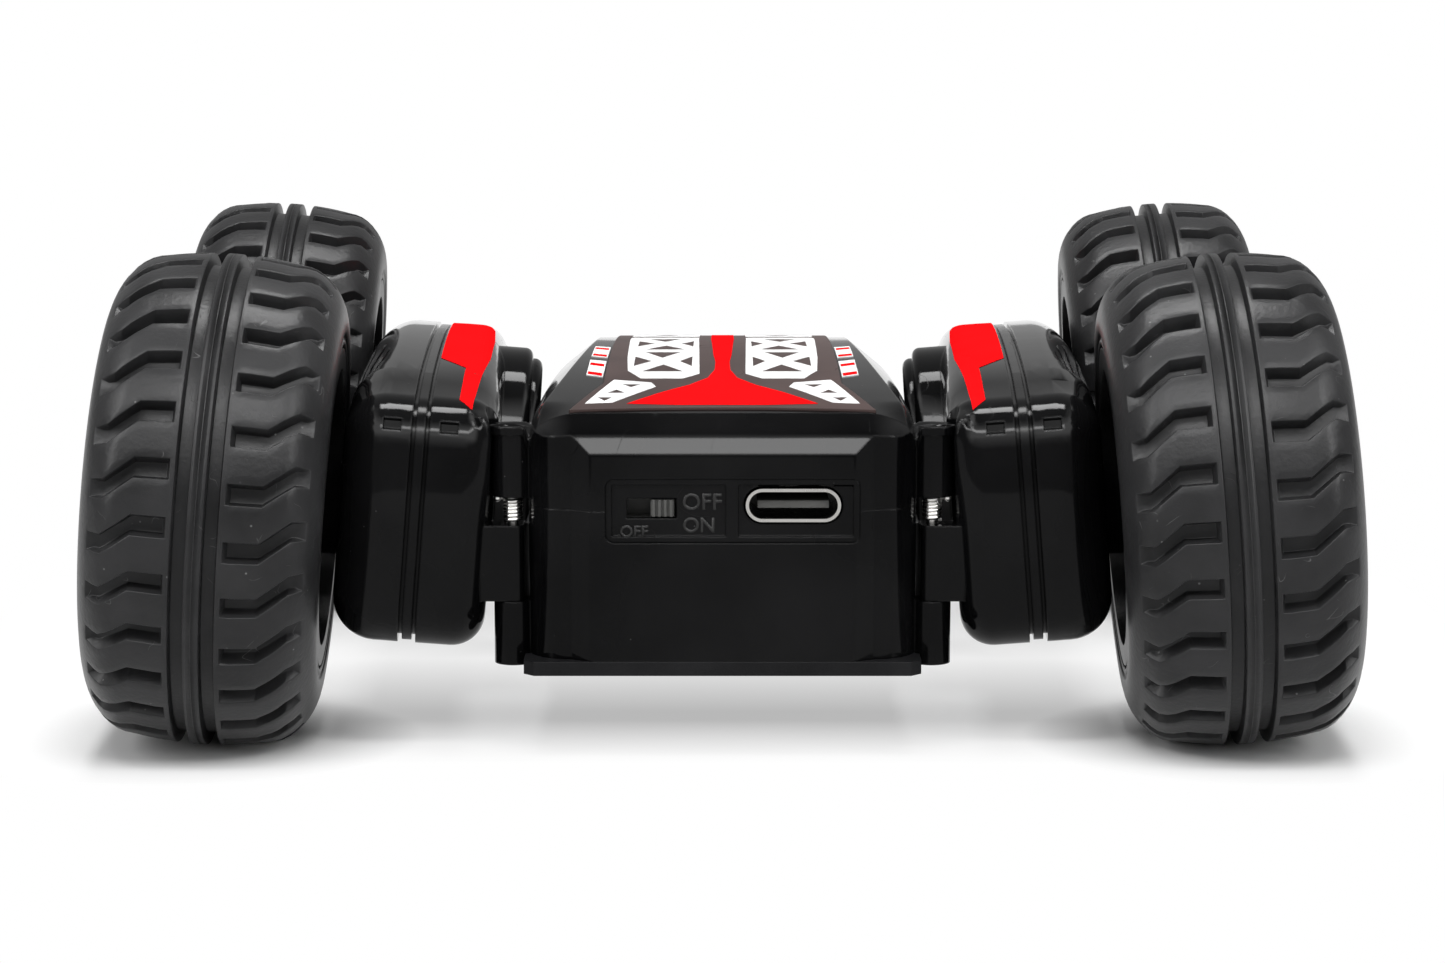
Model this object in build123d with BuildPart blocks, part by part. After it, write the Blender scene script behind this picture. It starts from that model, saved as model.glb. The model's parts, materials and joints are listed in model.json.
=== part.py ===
from build123d import *
import math
import os

# A small four-wheel-drive stunt car. Millimetres, +Z up, +Y towards the front, +X to the right.
# The origin is on the ground, under the middle of the car.

# ---- Driving dimensions -------------------------------------------------------------------------
# Wheels
tyre_diameter = 48.0
tyre_width = 22.2
crown_radius = 34.0  # across the tread
shoulder_start = 6.8  # from the wheel's centre plane
shoulder_drop = 1.6
shoulder_width = 2.6
sidewall_radius = 18.0
wheelbase = 75.2
mid_track = 102.7  # between the left and right wheel centres, halfway along the pods
camber = 4.8  # degrees, tops of the wheels leaning in
splay = 3.3  # degrees, front ends of the pods standing out
tread_depth = 1.3
groove_width = 1.4
groove_draft = 0.15
centre_rib_width = 1.45
bead_radius = 15.9
rim_lip_radius = 15.6
rim_seat_radius = 14.6
rim_dish_radius = 13.6
rim_lip_thickness = 0.9
rim_lip_inset = 0.2  # inside the tyre's full width
web_start = 2.5  # from the wheel's centre plane
web_thickness = 2.4
hub_diameter = 8.4
hub_end = 7.0
axle_end = 5.5
rim_pockets = 5
pocket_depth = 1.0
pocket_margin = 1.7  # round each pocket in the rim's web
pocket_angle = 108  # degrees, at the pocket's inner corners
hub_cap_diameter = 7.2
hub_cap_height = 1.5
hub_cap_bevel = 1.2
axle_diameter = 2.0

# Side pods
pod_width = 14.7
pod_outset = 19.3  # from the wheel centre plane in to the pod's seam plane
pod_overhang = 12.0  # beyond each axle
pod_drop = 11.4  # from the axle down to the pod's underside
pod_hump = 14.2  # from the axle up to the pod's crest
pod_crest = -15.0  # where the crest lies along the pod
pod_top_radius = 450.0
pod_brow_round = 4.0
pod_heel_round = 5.0
pod_inner_edge = 3.2
pod_outer_edge = 4.2
notch_drop = 2.4  # from the top's end down to the notch
notch_depth = 1.1
notch_height = 1.1
notch_width = 1.7
notch_offset = 1.0
pod_wall = 1.3
seam_gap = 1.7
seam_rib_width = 0.9
seam_rib_inset = 0.25
seam_floor_inset = 0.8
sleeve_diameter = 9.2
sleeve_length = 4.2
boss_radius = 12.9
boss_edge = 0.9
boss_step = 1.1
boss_height = 4.15

# Gear train inside each pod: tooth counts from the motor out to each wheel
pinion_teeth = 9
compound_teeth = 17
compound_small_teeth = 10
idler_teeth = 17
wheel_gear_teeth = 14
gear_width = 2.2
addendum = 0.8  # of the gear module, as the next three are shares of it or of a tooth's pitch
dedendum = 1.05
tip_share = 0.3
root_share = 0.8
gear_gap = 0.4
gear_pin_diameter = 1.5
gear_pin_grip = 3.0
gear_boss_radius = 1.9
bush_radius = 2.0
bush_length = 4.6
bearing_boss_radius = 2.6
bearing_boss_length = 5.4
motor_diameter = 18.6
motor_length = 10.0
motor_shaft_diameter = 1.5
motor_shaft_depth = 2.0
screw_radius = 0.8
screw_head_radius = 1.6
screw_head_height = 1.0
pod_screw_length = 9.0
pod_screw_rise = 8.0
screw_boss_radius = 1.8

# Hinges between the body and the pods
hinge_offset = 1.5  # from the body's side out to the hinge axis
hinge_setback = 7.5  # behind the rear axle
post_radius = 1.9
post_cap_radius = 2.2
post_cap_thickness = 0.8
hinge_pin_diameter = 1.0
knuckle_width = 4.2
knuckle_inside = 1.1  # from the hinge axis in to its inner face
knuckle_depth = 3.6
knuckle_round = 0.9
knuckle_bottom = 15.6
knuckle_top = 22.9
upper_post_bottom = 25.6
upper_post_top = 32.4
lower_post_bottom = 9.4
spring_wire = 0.45
spring_leg = 1.9
hinge_pin_inset = 1.0

# Body
body_width = 37.0
body_overhang = 13.0  # behind the rear axle
body_bottom = 9.15
base_thickness = 1.35
base_lip = 0.35
shell_seam = 24.9
tail_width = 24.8
tail_top = 30.2
tail_bevel = 1.9  # breadth of the bevel round the tail
tail_step = 1.2  # depth of the same bevel
tail_round = 0.6
brow_length = 2.2  # from the bevel to the deck's end
brow_round = 3.2  # where the deck rolls over into the brow
step_round = 2.6  # between the brow and the bevel over the tail
deck_top = 35.65
deck_crest = -14.0  # where the deck is highest
deck_radius = 300.0
shoulder_height = 33.1
shoulder_crest = -40.0  # where the shoulders are highest
shoulder_radius = 600.0  # of the shoulders' fall towards the nose
shoulder_slope = 0.8  # rise of the slopes over their breadth
shell_wall = 1.5
deck_panel_thickness = 0.9
deck_panel_proud = 0.2
deck_tail = 3.6  # from the tail to the panel's corners
deck_nose = 4.9  # from the nose to the panel's corners
deck_tail_width = 29.0
deck_tail_bow = 1.0
deck_taper = 12.0
deck_waist = 23.4
shoulder_round = 4.0
window_gap = 0.2  # from the panel's waist
window_middle = -19.0
window_pitch = 12.8
window_length = 11.2
window_width = 1.7
window_slant = 1.2
window_depth = 0.4
window_proud = 0.1
base_corner = 1.0
base_screw_x = 13.5
base_screw_inset = 8.0
base_screw_length = 5.0
base_boss_height = 6.0

# Sockets and controls in the tail
usb_x = 6.65
usb_rise = 0.56  # above the shells' seam
usb_width = 8.94
usb_height = 3.16
usb_depth = 7.35
usb_wall = 0.3
panel_left = -11.0
panel_right = 12.9
panel_drop = 3.0  # below the shells' seam
panel_rise = 3.1  # above the shells' seam
panel_recess = 0.4
panel_corner = 0.8
switch_x = -6.65
switch_rise = 0.25  # above the shells' seam
switch_window_width = 4.7
switch_window_height = 1.9
switch_travel = 2.0
knob_width = 2.2
knob_root = 1.5
knob_recess = 0.2
knob_ribs = 4
rib_depth = 0.25
switch_body_width = 9.0
switch_body_depth = 3.5
switch_body_height = 3.3
divider_x = 0.9
rim_width = 0.6
rim_height = 0.25
usb_proud = 0.3
port_slots = (4.3, 8.1, 11.4)
port_slot_width = 1.9
port_slot_depth = 0.5
port_slot_rise = 1.8  # from the socket's middle up to the slots
port_slot_height = 0.7
usb_gap = 0.2
tongue_setback = 0.8
tongue_width = 6.7
tongue_height = 0.7

# Inner parts of the body
board_thickness = 1.2
board_width = 28.0
board_length = 42.0
battery_width = 20.0
battery_length = 36.0
battery_height = 8.5
battery_round = 2.0
battery_start = -2.0
standoff_radius = 1.6
standoff_inset = 4.0  # from the board's edges

# ---- Clearances ---------------------------------------------------------------------------------
running_fit = 0.05
slide_fit = 0.15
swing_gap = 0.3
wheel_gap = 0.4
axle_end_gap = 0.3
backlash = 0.12  # share of the tooth pitch

# ---- Derived sizes ------------------------------------------------------------------------------
tyre_radius = tyre_diameter / 2
lean = math.radians(camber)
yaw = math.radians(splay)
tread_band = centre_rib_width / 2 + groove_width
band_sag = crown_radius - math.sqrt(crown_radius**2 - tread_band**2)
axle_height = (tyre_radius - band_sag) * math.cos(lean) + tread_band * math.sin(lean)
half_base = wheelbase / 2
pod_half_length = half_base + pod_overhang
inner_face = -pod_outset - pod_width / 2
outer_face = -pod_outset + pod_width / 2
inner_wall = inner_face + pod_wall
outer_wall = outer_face - pod_wall
seam_inner = -pod_outset - seam_gap / 2
seam_outer = -pod_outset + seam_gap / 2
half_body = half_base + body_overhang
tail = -half_body
hinge_y = -half_base - hinge_setback
gear_module = half_base / (
    (pinion_teeth + compound_teeth + compound_small_teeth + idler_teeth) / 2
    + (idler_teeth + wheel_gear_teeth) / 2
)
layer_b = outer_wall - gear_gap - gear_width
layer_a = layer_b - gear_gap - gear_width
compound_v = gear_module * (pinion_teeth + compound_teeth) / 2
idler_v = compound_v + gear_module * (compound_small_teeth + idler_teeth) / 2
motor_back = inner_face - boss_height + pod_wall
motor_front = motor_back + motor_length
hinge_x = body_width / 2 + hinge_offset
usb_z = shell_seam + usb_rise
port_slot_bottom = usb_z + port_slot_rise
switch_z = shell_seam + switch_rise
panel_bottom = shell_seam - panel_drop
panel_top = shell_seam + panel_rise
panel_thickness = shell_wall - panel_recess
board_top = usb_z - usb_height / 2
board_rear = tail_step + shell_wall + slide_fit - half_body
floor_top = body_bottom + base_thickness + shell_wall
screw_boss_end = outer_wall + pod_wall - pod_outer_edge
hub_start = outer_face + sleeve_length + wheel_gap
axle_start = inner_wall + axle_end_gap

os.makedirs("parts", exist_ok=True)


def save(piece, name):
    piece.part.label = name
    export_step(piece.part, f"parts/{name}.step")


# ---- Places -------------------------------------------------------------------------------------
def pod_plane(side, offset=0.0, along=0.0):
    """The plane across a pod's axles: z runs out along the axle and y up; x runs forward on the
    right and backward on the left, so a wheel on one side is the other's turned half round."""
    level = math.cos(lean)
    out = Vector(side * level * math.cos(yaw), -level * math.sin(yaw), math.sin(lean))
    forward = Vector(side * math.sin(yaw), math.cos(yaw), 0)
    origin = Vector(side * mid_track / 2, 0, axle_height) + forward * along + out * offset
    return Plane(origin=origin, x_dir=forward * side, z_dir=out)


cut = Mode.SUBTRACT
base_align = (Align.CENTER, Align.CENTER, Align.MIN)
sides = {"right": 1, "left": -1}
ends = {"rear": -1, "front": 1}
pod_axis = Axis((0, 0, 0), tuple(pod_plane(1).z_dir))


# ---- Wheels, made round the Z axis, outer side up -----------------------------------------------
def crown(z):
    return tyre_radius - crown_radius + math.sqrt(crown_radius**2 - z**2)


def save_wheel_part(master, name, side, end):
    """A wheel's piece, turned to its side and moved to its axle."""
    with BuildPart() as piece:
        with Locations(pod_plane(sides[side], along=ends[end] * half_base)):
            add(master.part)
    save(piece, f"{name}_{end}_{side}")


def make_tyre():
    half = tyre_width / 2
    bead = half - rim_lip_inset - rim_lip_thickness
    rib = centre_rib_width / 2
    shoulder = crown(shoulder_start)
    with BuildPart() as tyre:
        with BuildSketch(Plane.XZ):
            with BuildLine():
                Polyline(
                    (rim_seat_radius, 0),
                    (rim_seat_radius, bead),
                    (bead_radius, bead),
                    (bead_radius, half - rim_lip_inset),
                    (sidewall_radius, half),
                    (shoulder - shoulder_drop, shoulder_start + shoulder_width),
                    (shoulder, shoulder_start),
                    (crown(tread_band), tread_band),
                    (tyre_radius - tread_depth, tread_band - groove_draft),
                    (tyre_radius - tread_depth, rib + groove_draft),
                    (tyre_radius, rib),
                    (tyre_radius, 0),
                    close=True,
                )
            make_face()
            mirror(about=Plane.XZ)
        revolve(axis=Axis.Z)
    return tyre


def make_rim():
    half = tyre_width / 2 - rim_lip_inset
    bead = half - rim_lip_thickness
    hub = hub_diameter / 2
    web_end = web_start + web_thickness
    with BuildPart() as rim:
        with BuildSketch(Plane.XZ):
            with Locations(((rim_dish_radius + rim_seat_radius) / 2, 0)):
                Rectangle(rim_seat_radius - rim_dish_radius, 2 * bead)
            with Locations(
                ((rim_dish_radius + rim_lip_radius) / 2, (half + bead) / 2),
                ((rim_dish_radius + rim_lip_radius) / 2, -(half + bead) / 2),
            ):
                Rectangle(rim_lip_radius - rim_dish_radius, rim_lip_thickness)
            with Locations(((rim_dish_radius + hub) / 2, (web_start + web_end) / 2)):
                Rectangle(rim_dish_radius - hub, web_thickness)
            with Locations((hub / 2, (hub_start + hub_end) / 2)):
                Rectangle(hub, hub_end - hub_start)
        revolve(axis=Axis.Z)
        with BuildSketch(Plane.XY.offset(web_end)):
            with PolarLocations((hub + rim_dish_radius) / 2, rim_pockets):
                depth = rim_dish_radius - hub - 2 * pocket_margin
                Trapezoid(depth + pocket_depth, depth, pocket_angle, rotation=90)
        extrude(amount=-pocket_depth, mode=Mode.SUBTRACT)
        with Locations((0, 0, hub_start)):
            Cylinder(axle_diameter / 2, axle_end - hub_start, align=base_align, mode=Mode.SUBTRACT)
    return rim


def make_hub_cap():
    radius = hub_cap_diameter / 2
    with BuildPart() as cap:
        with BuildSketch(Plane.XZ):
            with BuildLine():
                Polyline(
                    (0, hub_end),
                    (radius, hub_end),
                    (radius, hub_end + hub_cap_height / 2),
                    (radius - hub_cap_bevel, hub_end + hub_cap_height),
                    (0, hub_end + hub_cap_height),
                    close=True,
                )
            make_face()
        revolve(axis=Axis.Z)
    return cap


def make_axle():
    with BuildPart() as axle:
        with Locations((0, 0, axle_start)):
            Cylinder(axle_diameter / 2, axle_end - axle_start, align=base_align)
    return axle


# ---- Gears --------------------------------------------------------------------------------------
def gear(plane, teeth, turn, bore=0.0):
    """A spur gear with straight-flanked teeth, added to the part under way."""
    pitch_radius = gear_module * teeth / 2
    tip = pitch_radius + addendum * gear_module
    root = pitch_radius - dedendum * gear_module
    step = 2 * math.pi / teeth
    thick = step * (0.5 - backlash)
    flanks = ((root, -root_share), (tip, -tip_share), (tip, tip_share), (root, root_share))
    points = []
    for tooth in range(teeth):
        for radius, shift in flanks:
            angle = tooth * step + turn + shift * thick
            points.append((radius * math.cos(angle), radius * math.sin(angle)))
    with BuildSketch(plane) as profile:
        with BuildLine():
            Polyline(*points, close=True)
        make_face()
        if bore:
            Circle(bore / 2, mode=Mode.SUBTRACT)
    extrude(profile.sketch, amount=gear_width)


def next_turn(turn, teeth, next_teeth, direction):
    """The angle of a tooth on the next gear, so that it meshes with the one before it."""
    return direction + math.pi - (teeth * (turn - direction) + math.pi) / next_teeth


def train_turns(side, end):
    """Tooth angles of the compound gear, the idler and the wheel gear on one arm of a train."""
    direction = 0 if sides[side] * ends[end] > 0 else math.pi
    compound = next_turn(0, pinion_teeth, compound_teeth, direction)
    idler = next_turn(compound, compound_small_teeth, idler_teeth, direction)
    wheel = next_turn(idler, idler_teeth, wheel_gear_teeth, direction)
    return compound, idler, wheel


def make_train(side):
    plus = sides[side]
    shaft = motor_shaft_diameter / 2
    with BuildPart() as pinion:
        gear(pod_plane(plus, layer_a), pinion_teeth, 0)
        with BuildSketch(pod_plane(plus, layer_a + gear_width)):
            Circle(shaft)
        extrude(amount=-(layer_a + gear_width - motor_front + motor_shaft_depth - slide_fit))
    save(pinion, f"motor_pinion_{side}")
    bore = gear_pin_diameter + 2 * running_fit
    for end, way in ends.items():
        compound_turn, idler_turn, wheel_turn = train_turns(side, end)
        with BuildPart() as compound:
            gear(pod_plane(plus, layer_a, way * compound_v), compound_teeth, compound_turn, bore)
            gear(pod_plane(plus, layer_b, way * compound_v), compound_small_teeth, compound_turn, bore)
            with BuildSketch(pod_plane(plus, layer_a + gear_width, way * compound_v)):
                Circle(gear_pin_diameter)
                Circle(bore / 2, mode=Mode.SUBTRACT)
            extrude(amount=gear_gap)
        save(compound, f"compound_gear_{end}_{side}")
        with BuildPart() as idler:
            gear(pod_plane(plus, layer_b, way * idler_v), idler_teeth, idler_turn, bore)
        save(idler, f"idler_gear_{end}_{side}")
        with BuildPart() as wheel_gear:
            gear(pod_plane(plus, layer_b, way * half_base), wheel_gear_teeth, wheel_turn, axle_diameter)
        save(wheel_gear, f"wheel_gear_{end}_{side}")


# ---- Pods, made on the right and mirrored to the left -------------------------------------------
def pod_top(along, inset=0.0):
    """Height of the pod's arched top above its axles."""
    rise = math.sqrt((pod_top_radius - inset) ** 2 - (along - pod_crest) ** 2)
    return pod_hump - pod_top_radius + rise


def pod_outline(plane, inset=0.0):
    """The pod's side view, drawn in by inset."""
    length = pod_half_length - inset
    base = inset - pod_drop
    rear = (-length, pod_top(-length, inset))
    front = (length, pod_top(length, inset))
    with BuildSketch(plane) as outline:
        with BuildLine():
            Polyline(rear, (-length, base), (length, base), front)
            ThreePointArc(front, (pod_crest, pod_hump - inset), rear)
        make_face()
        fillet(outline.vertices().sort_by(Axis.Y)[2:], pod_brow_round - inset)
        fillet(outline.vertices().sort_by(Axis.Y)[:2], pod_heel_round - inset)
    return outline.sketch


def pod_half(wall, seam, inset, edge):
    """Half a pod, solid from its wall to its seam, with rounded edges round the wall."""
    with BuildPart() as half:
        extrude(pod_outline(pod_plane(1, wall), inset), amount=seam - wall)
        faces = half.faces().sort_by(pod_axis)
        fillet(faces[0 if wall < seam else -1].edges(), edge)
    return half.part


def disc(radius, offset, length, along=0.0, up=0.0, mode=Mode.ADD):
    """A cylinder across the right pod, from offset outwards by length."""
    with BuildSketch(pod_plane(1, offset, along)) as profile:
        with Locations((0, up)):
            Circle(radius)
    extrude(profile.sketch, amount=length, mode=mode)


def save_pair(piece, name):
    save(piece, f"{name}_right")
    with BuildPart() as left:
        mirror(piece.part, about=Plane.YZ)
    save(left, f"{name}_left")


def hinge_post(radius, bottom, top, mode=Mode.ADD, side=1):
    with BuildSketch(Plane.XY.offset(bottom)) as profile:
        with Locations((side * hinge_x, hinge_y)):
            Circle(radius)
    extrude(profile.sketch, amount=top - bottom, mode=mode)


def end_notches(face, way):
    """Small moulded slots under the brow at both ends of a half shell."""
    for end in (-1, 1):
        with BuildSketch(pod_plane(1, face)) as profile:
            with Locations((end * pod_half_length, pod_top(end * pod_half_length) - notch_drop)):
                Rectangle(2 * notch_depth, notch_height)
        extrude(profile.sketch, amount=way * notch_width, mode=Mode.SUBTRACT)


screw_spots = [(way * (idler_v + half_base) / 2, up * pod_screw_rise) for way in (-1, 1) for up in (-1, 1)]


def make_pod_inner():
    outside = pod_half(inner_face, seam_inner, 0, pod_inner_edge)
    cavity = pod_half(inner_wall, seam_inner, pod_wall, pod_inner_edge - pod_wall)
    boss_root = inner_face + pod_inner_edge
    boss_face = inner_face - boss_height
    with BuildPart() as boss:
        disc(boss_radius, boss_root, boss_face + boss_step - boss_root)
        disc(boss_radius - boss_step, boss_face + boss_step, -boss_step)
        for face in boss.faces().filter_by(GeomType.PLANE).sort_by(pod_axis)[:2]:
            fillet(face.edges().sort_by(SortBy.RADIUS)[-1], boss_edge)
    with BuildPart() as shell:
        add(outside)
        add(boss.part)
        hinge_post(post_cap_radius + swing_gap, 0, 2 * axle_height, mode=Mode.SUBTRACT)
        add(cavity, mode=Mode.SUBTRACT)
        with BuildSketch(Plane.XY.offset(knuckle_bottom)):
            with Locations((hinge_x - knuckle_inside, hinge_y)):
                knuckle = Rectangle(knuckle_width, knuckle_depth, align=(Align.MIN, Align.CENTER))
            fillet(knuckle.vertices().group_by(Axis.X)[0], knuckle_round)
        extrude(amount=knuckle_top - knuckle_bottom)
        for along in (-half_base, half_base):
            disc(bearing_boss_radius, inner_wall, bearing_boss_length, along)
            disc(axle_diameter / 2 + running_fit, inner_wall, bearing_boss_length, along, mode=Mode.SUBTRACT)
        for along, height in ((compound_v, layer_a), (idler_v, layer_b)):
            for way in (-1, 1):
                top = height - swing_gap
                disc(gear_boss_radius, inner_wall, top - inner_wall, way * along)
                disc(gear_pin_diameter / 2, top, -gear_pin_grip, way * along, mode=Mode.SUBTRACT)
        for along, up in screw_spots:
            disc(screw_boss_radius, inner_wall, screw_boss_end - inner_wall, along, up)
            disc(screw_head_radius, inner_face, screw_head_height, along, up, mode=Mode.SUBTRACT)
            disc(screw_radius, inner_face, pod_screw_length, along, up, mode=Mode.SUBTRACT)
        disc(motor_diameter / 2 + slide_fit, motor_back, inner_wall - motor_back, mode=Mode.SUBTRACT)
        hinge_post(hinge_pin_diameter / 2 + running_fit, 0, 2 * axle_height, mode=Mode.SUBTRACT)
        end_notches(seam_inner - notch_offset, -1)
    save_pair(shell, "pod_inner_shell")


def make_pod_outer():
    outside = pod_half(outer_face, seam_outer, 0, pod_outer_edge)
    cavity = pod_half(outer_wall, seam_outer, pod_wall, pod_outer_edge - pod_wall)
    with BuildPart() as shell:
        add(outside)
        add(cavity, mode=Mode.SUBTRACT)
        for along in (-half_base, half_base):
            disc(sleeve_diameter / 2, outer_wall, outer_face + sleeve_length - outer_wall, along)
            disc(bush_radius, outer_wall, bush_length, along, mode=Mode.SUBTRACT)
            disc(axle_diameter / 2 + wheel_gap, outer_wall, 2 * sleeve_length, along, mode=Mode.SUBTRACT)
        end_notches(seam_outer + notch_offset, 1)
    save_pair(shell, "pod_outer_shell")


def make_pod_trim():
    with BuildPart() as trim:
        extrude(pod_outline(pod_plane(1, seam_inner), seam_floor_inset), amount=seam_gap)
        rib_face = -pod_outset - seam_rib_width / 2
        extrude(pod_outline(pod_plane(1, rib_face), seam_rib_inset), amount=seam_rib_width)
        extrude(pod_outline(pod_plane(1, seam_inner), pod_wall), amount=seam_gap, mode=Mode.SUBTRACT)
    save_pair(trim, "pod_seam_trim")


def make_pod_inner_parts():
    with BuildPart() as motor:
        disc(motor_diameter / 2, motor_back, motor_front - motor_back)
        disc(motor_shaft_diameter / 2 + running_fit, motor_front, -motor_shaft_depth, mode=Mode.SUBTRACT)
    save_pair(motor, "motor")
    with BuildPart() as pins:
        for along, height in ((compound_v, layer_a), (idler_v, layer_b)):
            start = height - swing_gap - gear_pin_grip
            for way in (-1, 1):
                disc(gear_pin_diameter / 2, start, outer_wall - start, way * along)
    save_pair(pins, "gear_pins")
    with BuildPart() as bushes:
        for along in (-half_base, half_base):
            disc(bush_radius, outer_wall, bush_length, along)
            disc(axle_diameter / 2 + running_fit, outer_wall, bush_length, along, mode=Mode.SUBTRACT)
    save_pair(bushes, "axle_bushes")
    with BuildPart() as screws:
        for along, up in screw_spots:
            disc(screw_head_radius, inner_face, screw_head_height, along, up)
            disc(screw_radius, inner_face, pod_screw_length, along, up)
    save_pair(screws, "pod_screws")


# ---- Body ---------------------------------------------------------------------------------------
def drawn_in(inset):
    """Draw the sketch under way in by inset, corners kept."""
    if inset:
        offset(amount=-inset, kind=Kind.INTERSECTION)


def plan_outline(plane, inset=0.0):
    """The body from above: bevelled tail and nose between rounded corners."""
    side = body_width / 2
    step = half_body - tail_step
    bevel_end = tail_width / 2 + tail_bevel
    corner = side - bevel_end
    with BuildSketch(plane) as plan:
        with BuildLine():
            Polyline((0, half_body), (tail_width / 2, half_body), (bevel_end, step))
            CenterArc((bevel_end, step - corner), corner, 0, 90)
            Line((side, step - corner), (side, 0))
            mirror(about=Plane.XZ)
            mirror(about=Plane.YZ)
        make_face()
        drawn_in(inset)
    return plan.sketch


def deck_height(y, shift=0.0):
    """Height of the domed deck above a point of the centre line."""
    rise = math.sqrt((deck_radius + shift) ** 2 - (y - deck_crest) ** 2)
    return deck_top - deck_radius + rise


def dome_section(inset=0.0):
    """The body from the side: the deck's dome between the bevels over the tail and the nose."""
    step = half_body - tail_step
    brow = step - brow_length
    fall = deck_height(-brow) - deck_height(brow)
    with BuildSketch(Plane.YZ) as section:
        with BuildLine():
            Polyline(
                (-brow, deck_height(-brow)),
                (-step, tail_top + tail_bevel),
                (-half_body, tail_top),
                (-half_body, 0),
                (half_body, 0),
                (half_body, tail_top - fall),
                (step, tail_top + tail_bevel - fall),
                (brow, deck_height(brow)),
            )
            ThreePointArc((brow, deck_height(brow)), (deck_crest, deck_top), (-brow, deck_height(-brow)))
        make_face()
        for end in (-1, 1):
            fillet(section.vertices().filter_by_position(Axis.X, end * brow, end * brow), brow_round)
            fillet(section.vertices().filter_by_position(Axis.X, end * step, end * step), step_round)
        drawn_in(inset)
    return section.sketch


def shoulder_section(inset=0.0):
    """The body from behind where its shoulders are highest: straight sides and sloped shoulders."""
    side = body_width / 2
    top = deck_top + shell_wall
    slope_end = side - (top - shoulder_height) / shoulder_slope
    with BuildSketch(Plane.XZ.offset(-shoulder_crest)) as section:
        with BuildLine():
            Polyline((0, 0), (side, 0), (side, shoulder_height), (slope_end, top), (0, top))
            mirror(about=Plane.YZ)
        make_face()
        corners = section.vertices().filter_by_position(Axis.Y, shoulder_height, shoulder_height)
        fillet(corners, shoulder_round)
        drawn_in(inset)
    return section.sketch


def body_form(bottom, inset=0.0):
    """The closed body above a level, drawn in by inset."""
    fall_axis = Axis((0, shoulder_crest, shoulder_height - shoulder_radius), (1, 0, 0))
    turn = math.degrees(2 * half_body / shoulder_radius)
    start = shoulder_section(inset).rotate(fall_axis, turn / 4)
    with BuildPart() as form:
        extrude(plan_outline(Plane.XY.offset(bottom), inset), amount=deck_top)
        extrude(dome_section(inset), amount=body_width, both=True, mode=Mode.INTERSECT)
        revolve(start, axis=fall_axis, revolution_arc=-1.25 * turn, mode=Mode.INTERSECT)
    return form.part


def deck_outline():
    """The deck's print panel from above: flared towards the tail, straight to the nose."""
    waist = deck_waist / 2
    flare = deck_tail_width / 2
    rear = deck_tail - half_body
    front = half_body - deck_nose
    with BuildSketch() as outline:
        with BuildLine():
            Polyline((flare, rear), (waist, rear + deck_taper), (waist, front))
            ThreePointArc((waist, front), (0, front + deck_tail_bow), (-waist, front))
            Polyline((-waist, front), (-waist, rear + deck_taper), (-flare, rear))
            ThreePointArc((-flare, rear), (0, rear + deck_tail_bow), (flare, rear))
        make_face()
    return outline.sketch


def deck_layer(outline, low, high):
    """An outline's slice of the deck between two shifts from its domed surface."""
    with BuildPart() as layer:
        extrude(outline, amount=2 * deck_top)
        with BuildSketch(Plane.YZ):
            with BuildLine():
                edges = []
                for shift in (low, high):
                    rear = (-half_body, deck_height(-half_body, shift))
                    front = (half_body, deck_height(half_body, shift))
                    edges.append(ThreePointArc(rear, (deck_crest, deck_top + shift), front))
                Line(edges[0] @ 0, edges[1] @ 0)
                Line(edges[0] @ 1, edges[1] @ 1)
            make_face()
        extrude(amount=body_width, both=True, mode=Mode.INTERSECT)
    return layer.part


def window_outline():
    """Two slanted windows on each side of the deck's panel."""
    near = deck_waist / 2 + window_gap
    far = near + window_width
    with BuildSketch() as outline:
        for middle in (window_middle - window_pitch / 2, window_middle + window_pitch / 2):
            rear = middle - window_length / 2
            front = middle + window_length / 2
            with BuildLine():
                Polyline(
                    (near, rear),
                    (far, rear + window_slant),
                    (far, front),
                    (near, front - window_slant),
                    close=True,
                )
            make_face()
        mirror(about=Plane.YZ)
    return outline.sketch


def panel_opening(mode):
    with BuildSketch(Plane.XZ.offset(half_body + 1)) as profile:
        with Locations(((panel_left + panel_right) / 2, (panel_bottom + panel_top) / 2)):
            RectangleRounded(panel_right - panel_left, panel_top - panel_bottom, panel_corner)
    extrude(profile.sketch, amount=-(shell_wall + 1), mode=mode)


def make_top_shell():
    outside = body_form(shell_seam)
    inside = body_form(shell_seam - 1, shell_wall)
    pocket = deck_layer(deck_outline(), deck_panel_proud - deck_panel_thickness, shell_wall)
    panes = deck_layer(window_outline(), -window_depth, shell_wall)
    with BuildPart() as shell:
        add(outside)
        for face in shell.faces().sort_by(Axis.Y)[0], shell.faces().sort_by(Axis.Y)[-1]:
            fillet(face.edges() - face.edges().group_by(Axis.Z)[0], tail_round)
        for side in (-1, 1):
            hinge_post(post_radius, upper_post_bottom, upper_post_top, side=side)
            hinge_post(post_cap_radius, upper_post_top - post_cap_thickness, upper_post_top, side=side)
        add(inside, mode=Mode.SUBTRACT)
        for side in (-1, 1):
            hinge_post(hinge_pin_diameter / 2, 0, upper_post_top - hinge_pin_inset, Mode.SUBTRACT, side)
        add(pocket, mode=Mode.SUBTRACT)
        add(panes, mode=Mode.SUBTRACT)
        panel_opening(Mode.SUBTRACT)
    save(shell, "top_shell")


def make_deck():
    layer = deck_layer(deck_outline(), deck_panel_proud - deck_panel_thickness, deck_panel_proud)
    with BuildPart() as deck:
        add(layer)
    save(deck, "deck_panel")
    panes = deck_layer(window_outline(), -window_depth, window_proud)
    with BuildPart() as windows:
        add(panes)
    save(windows, "side_windows")


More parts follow.
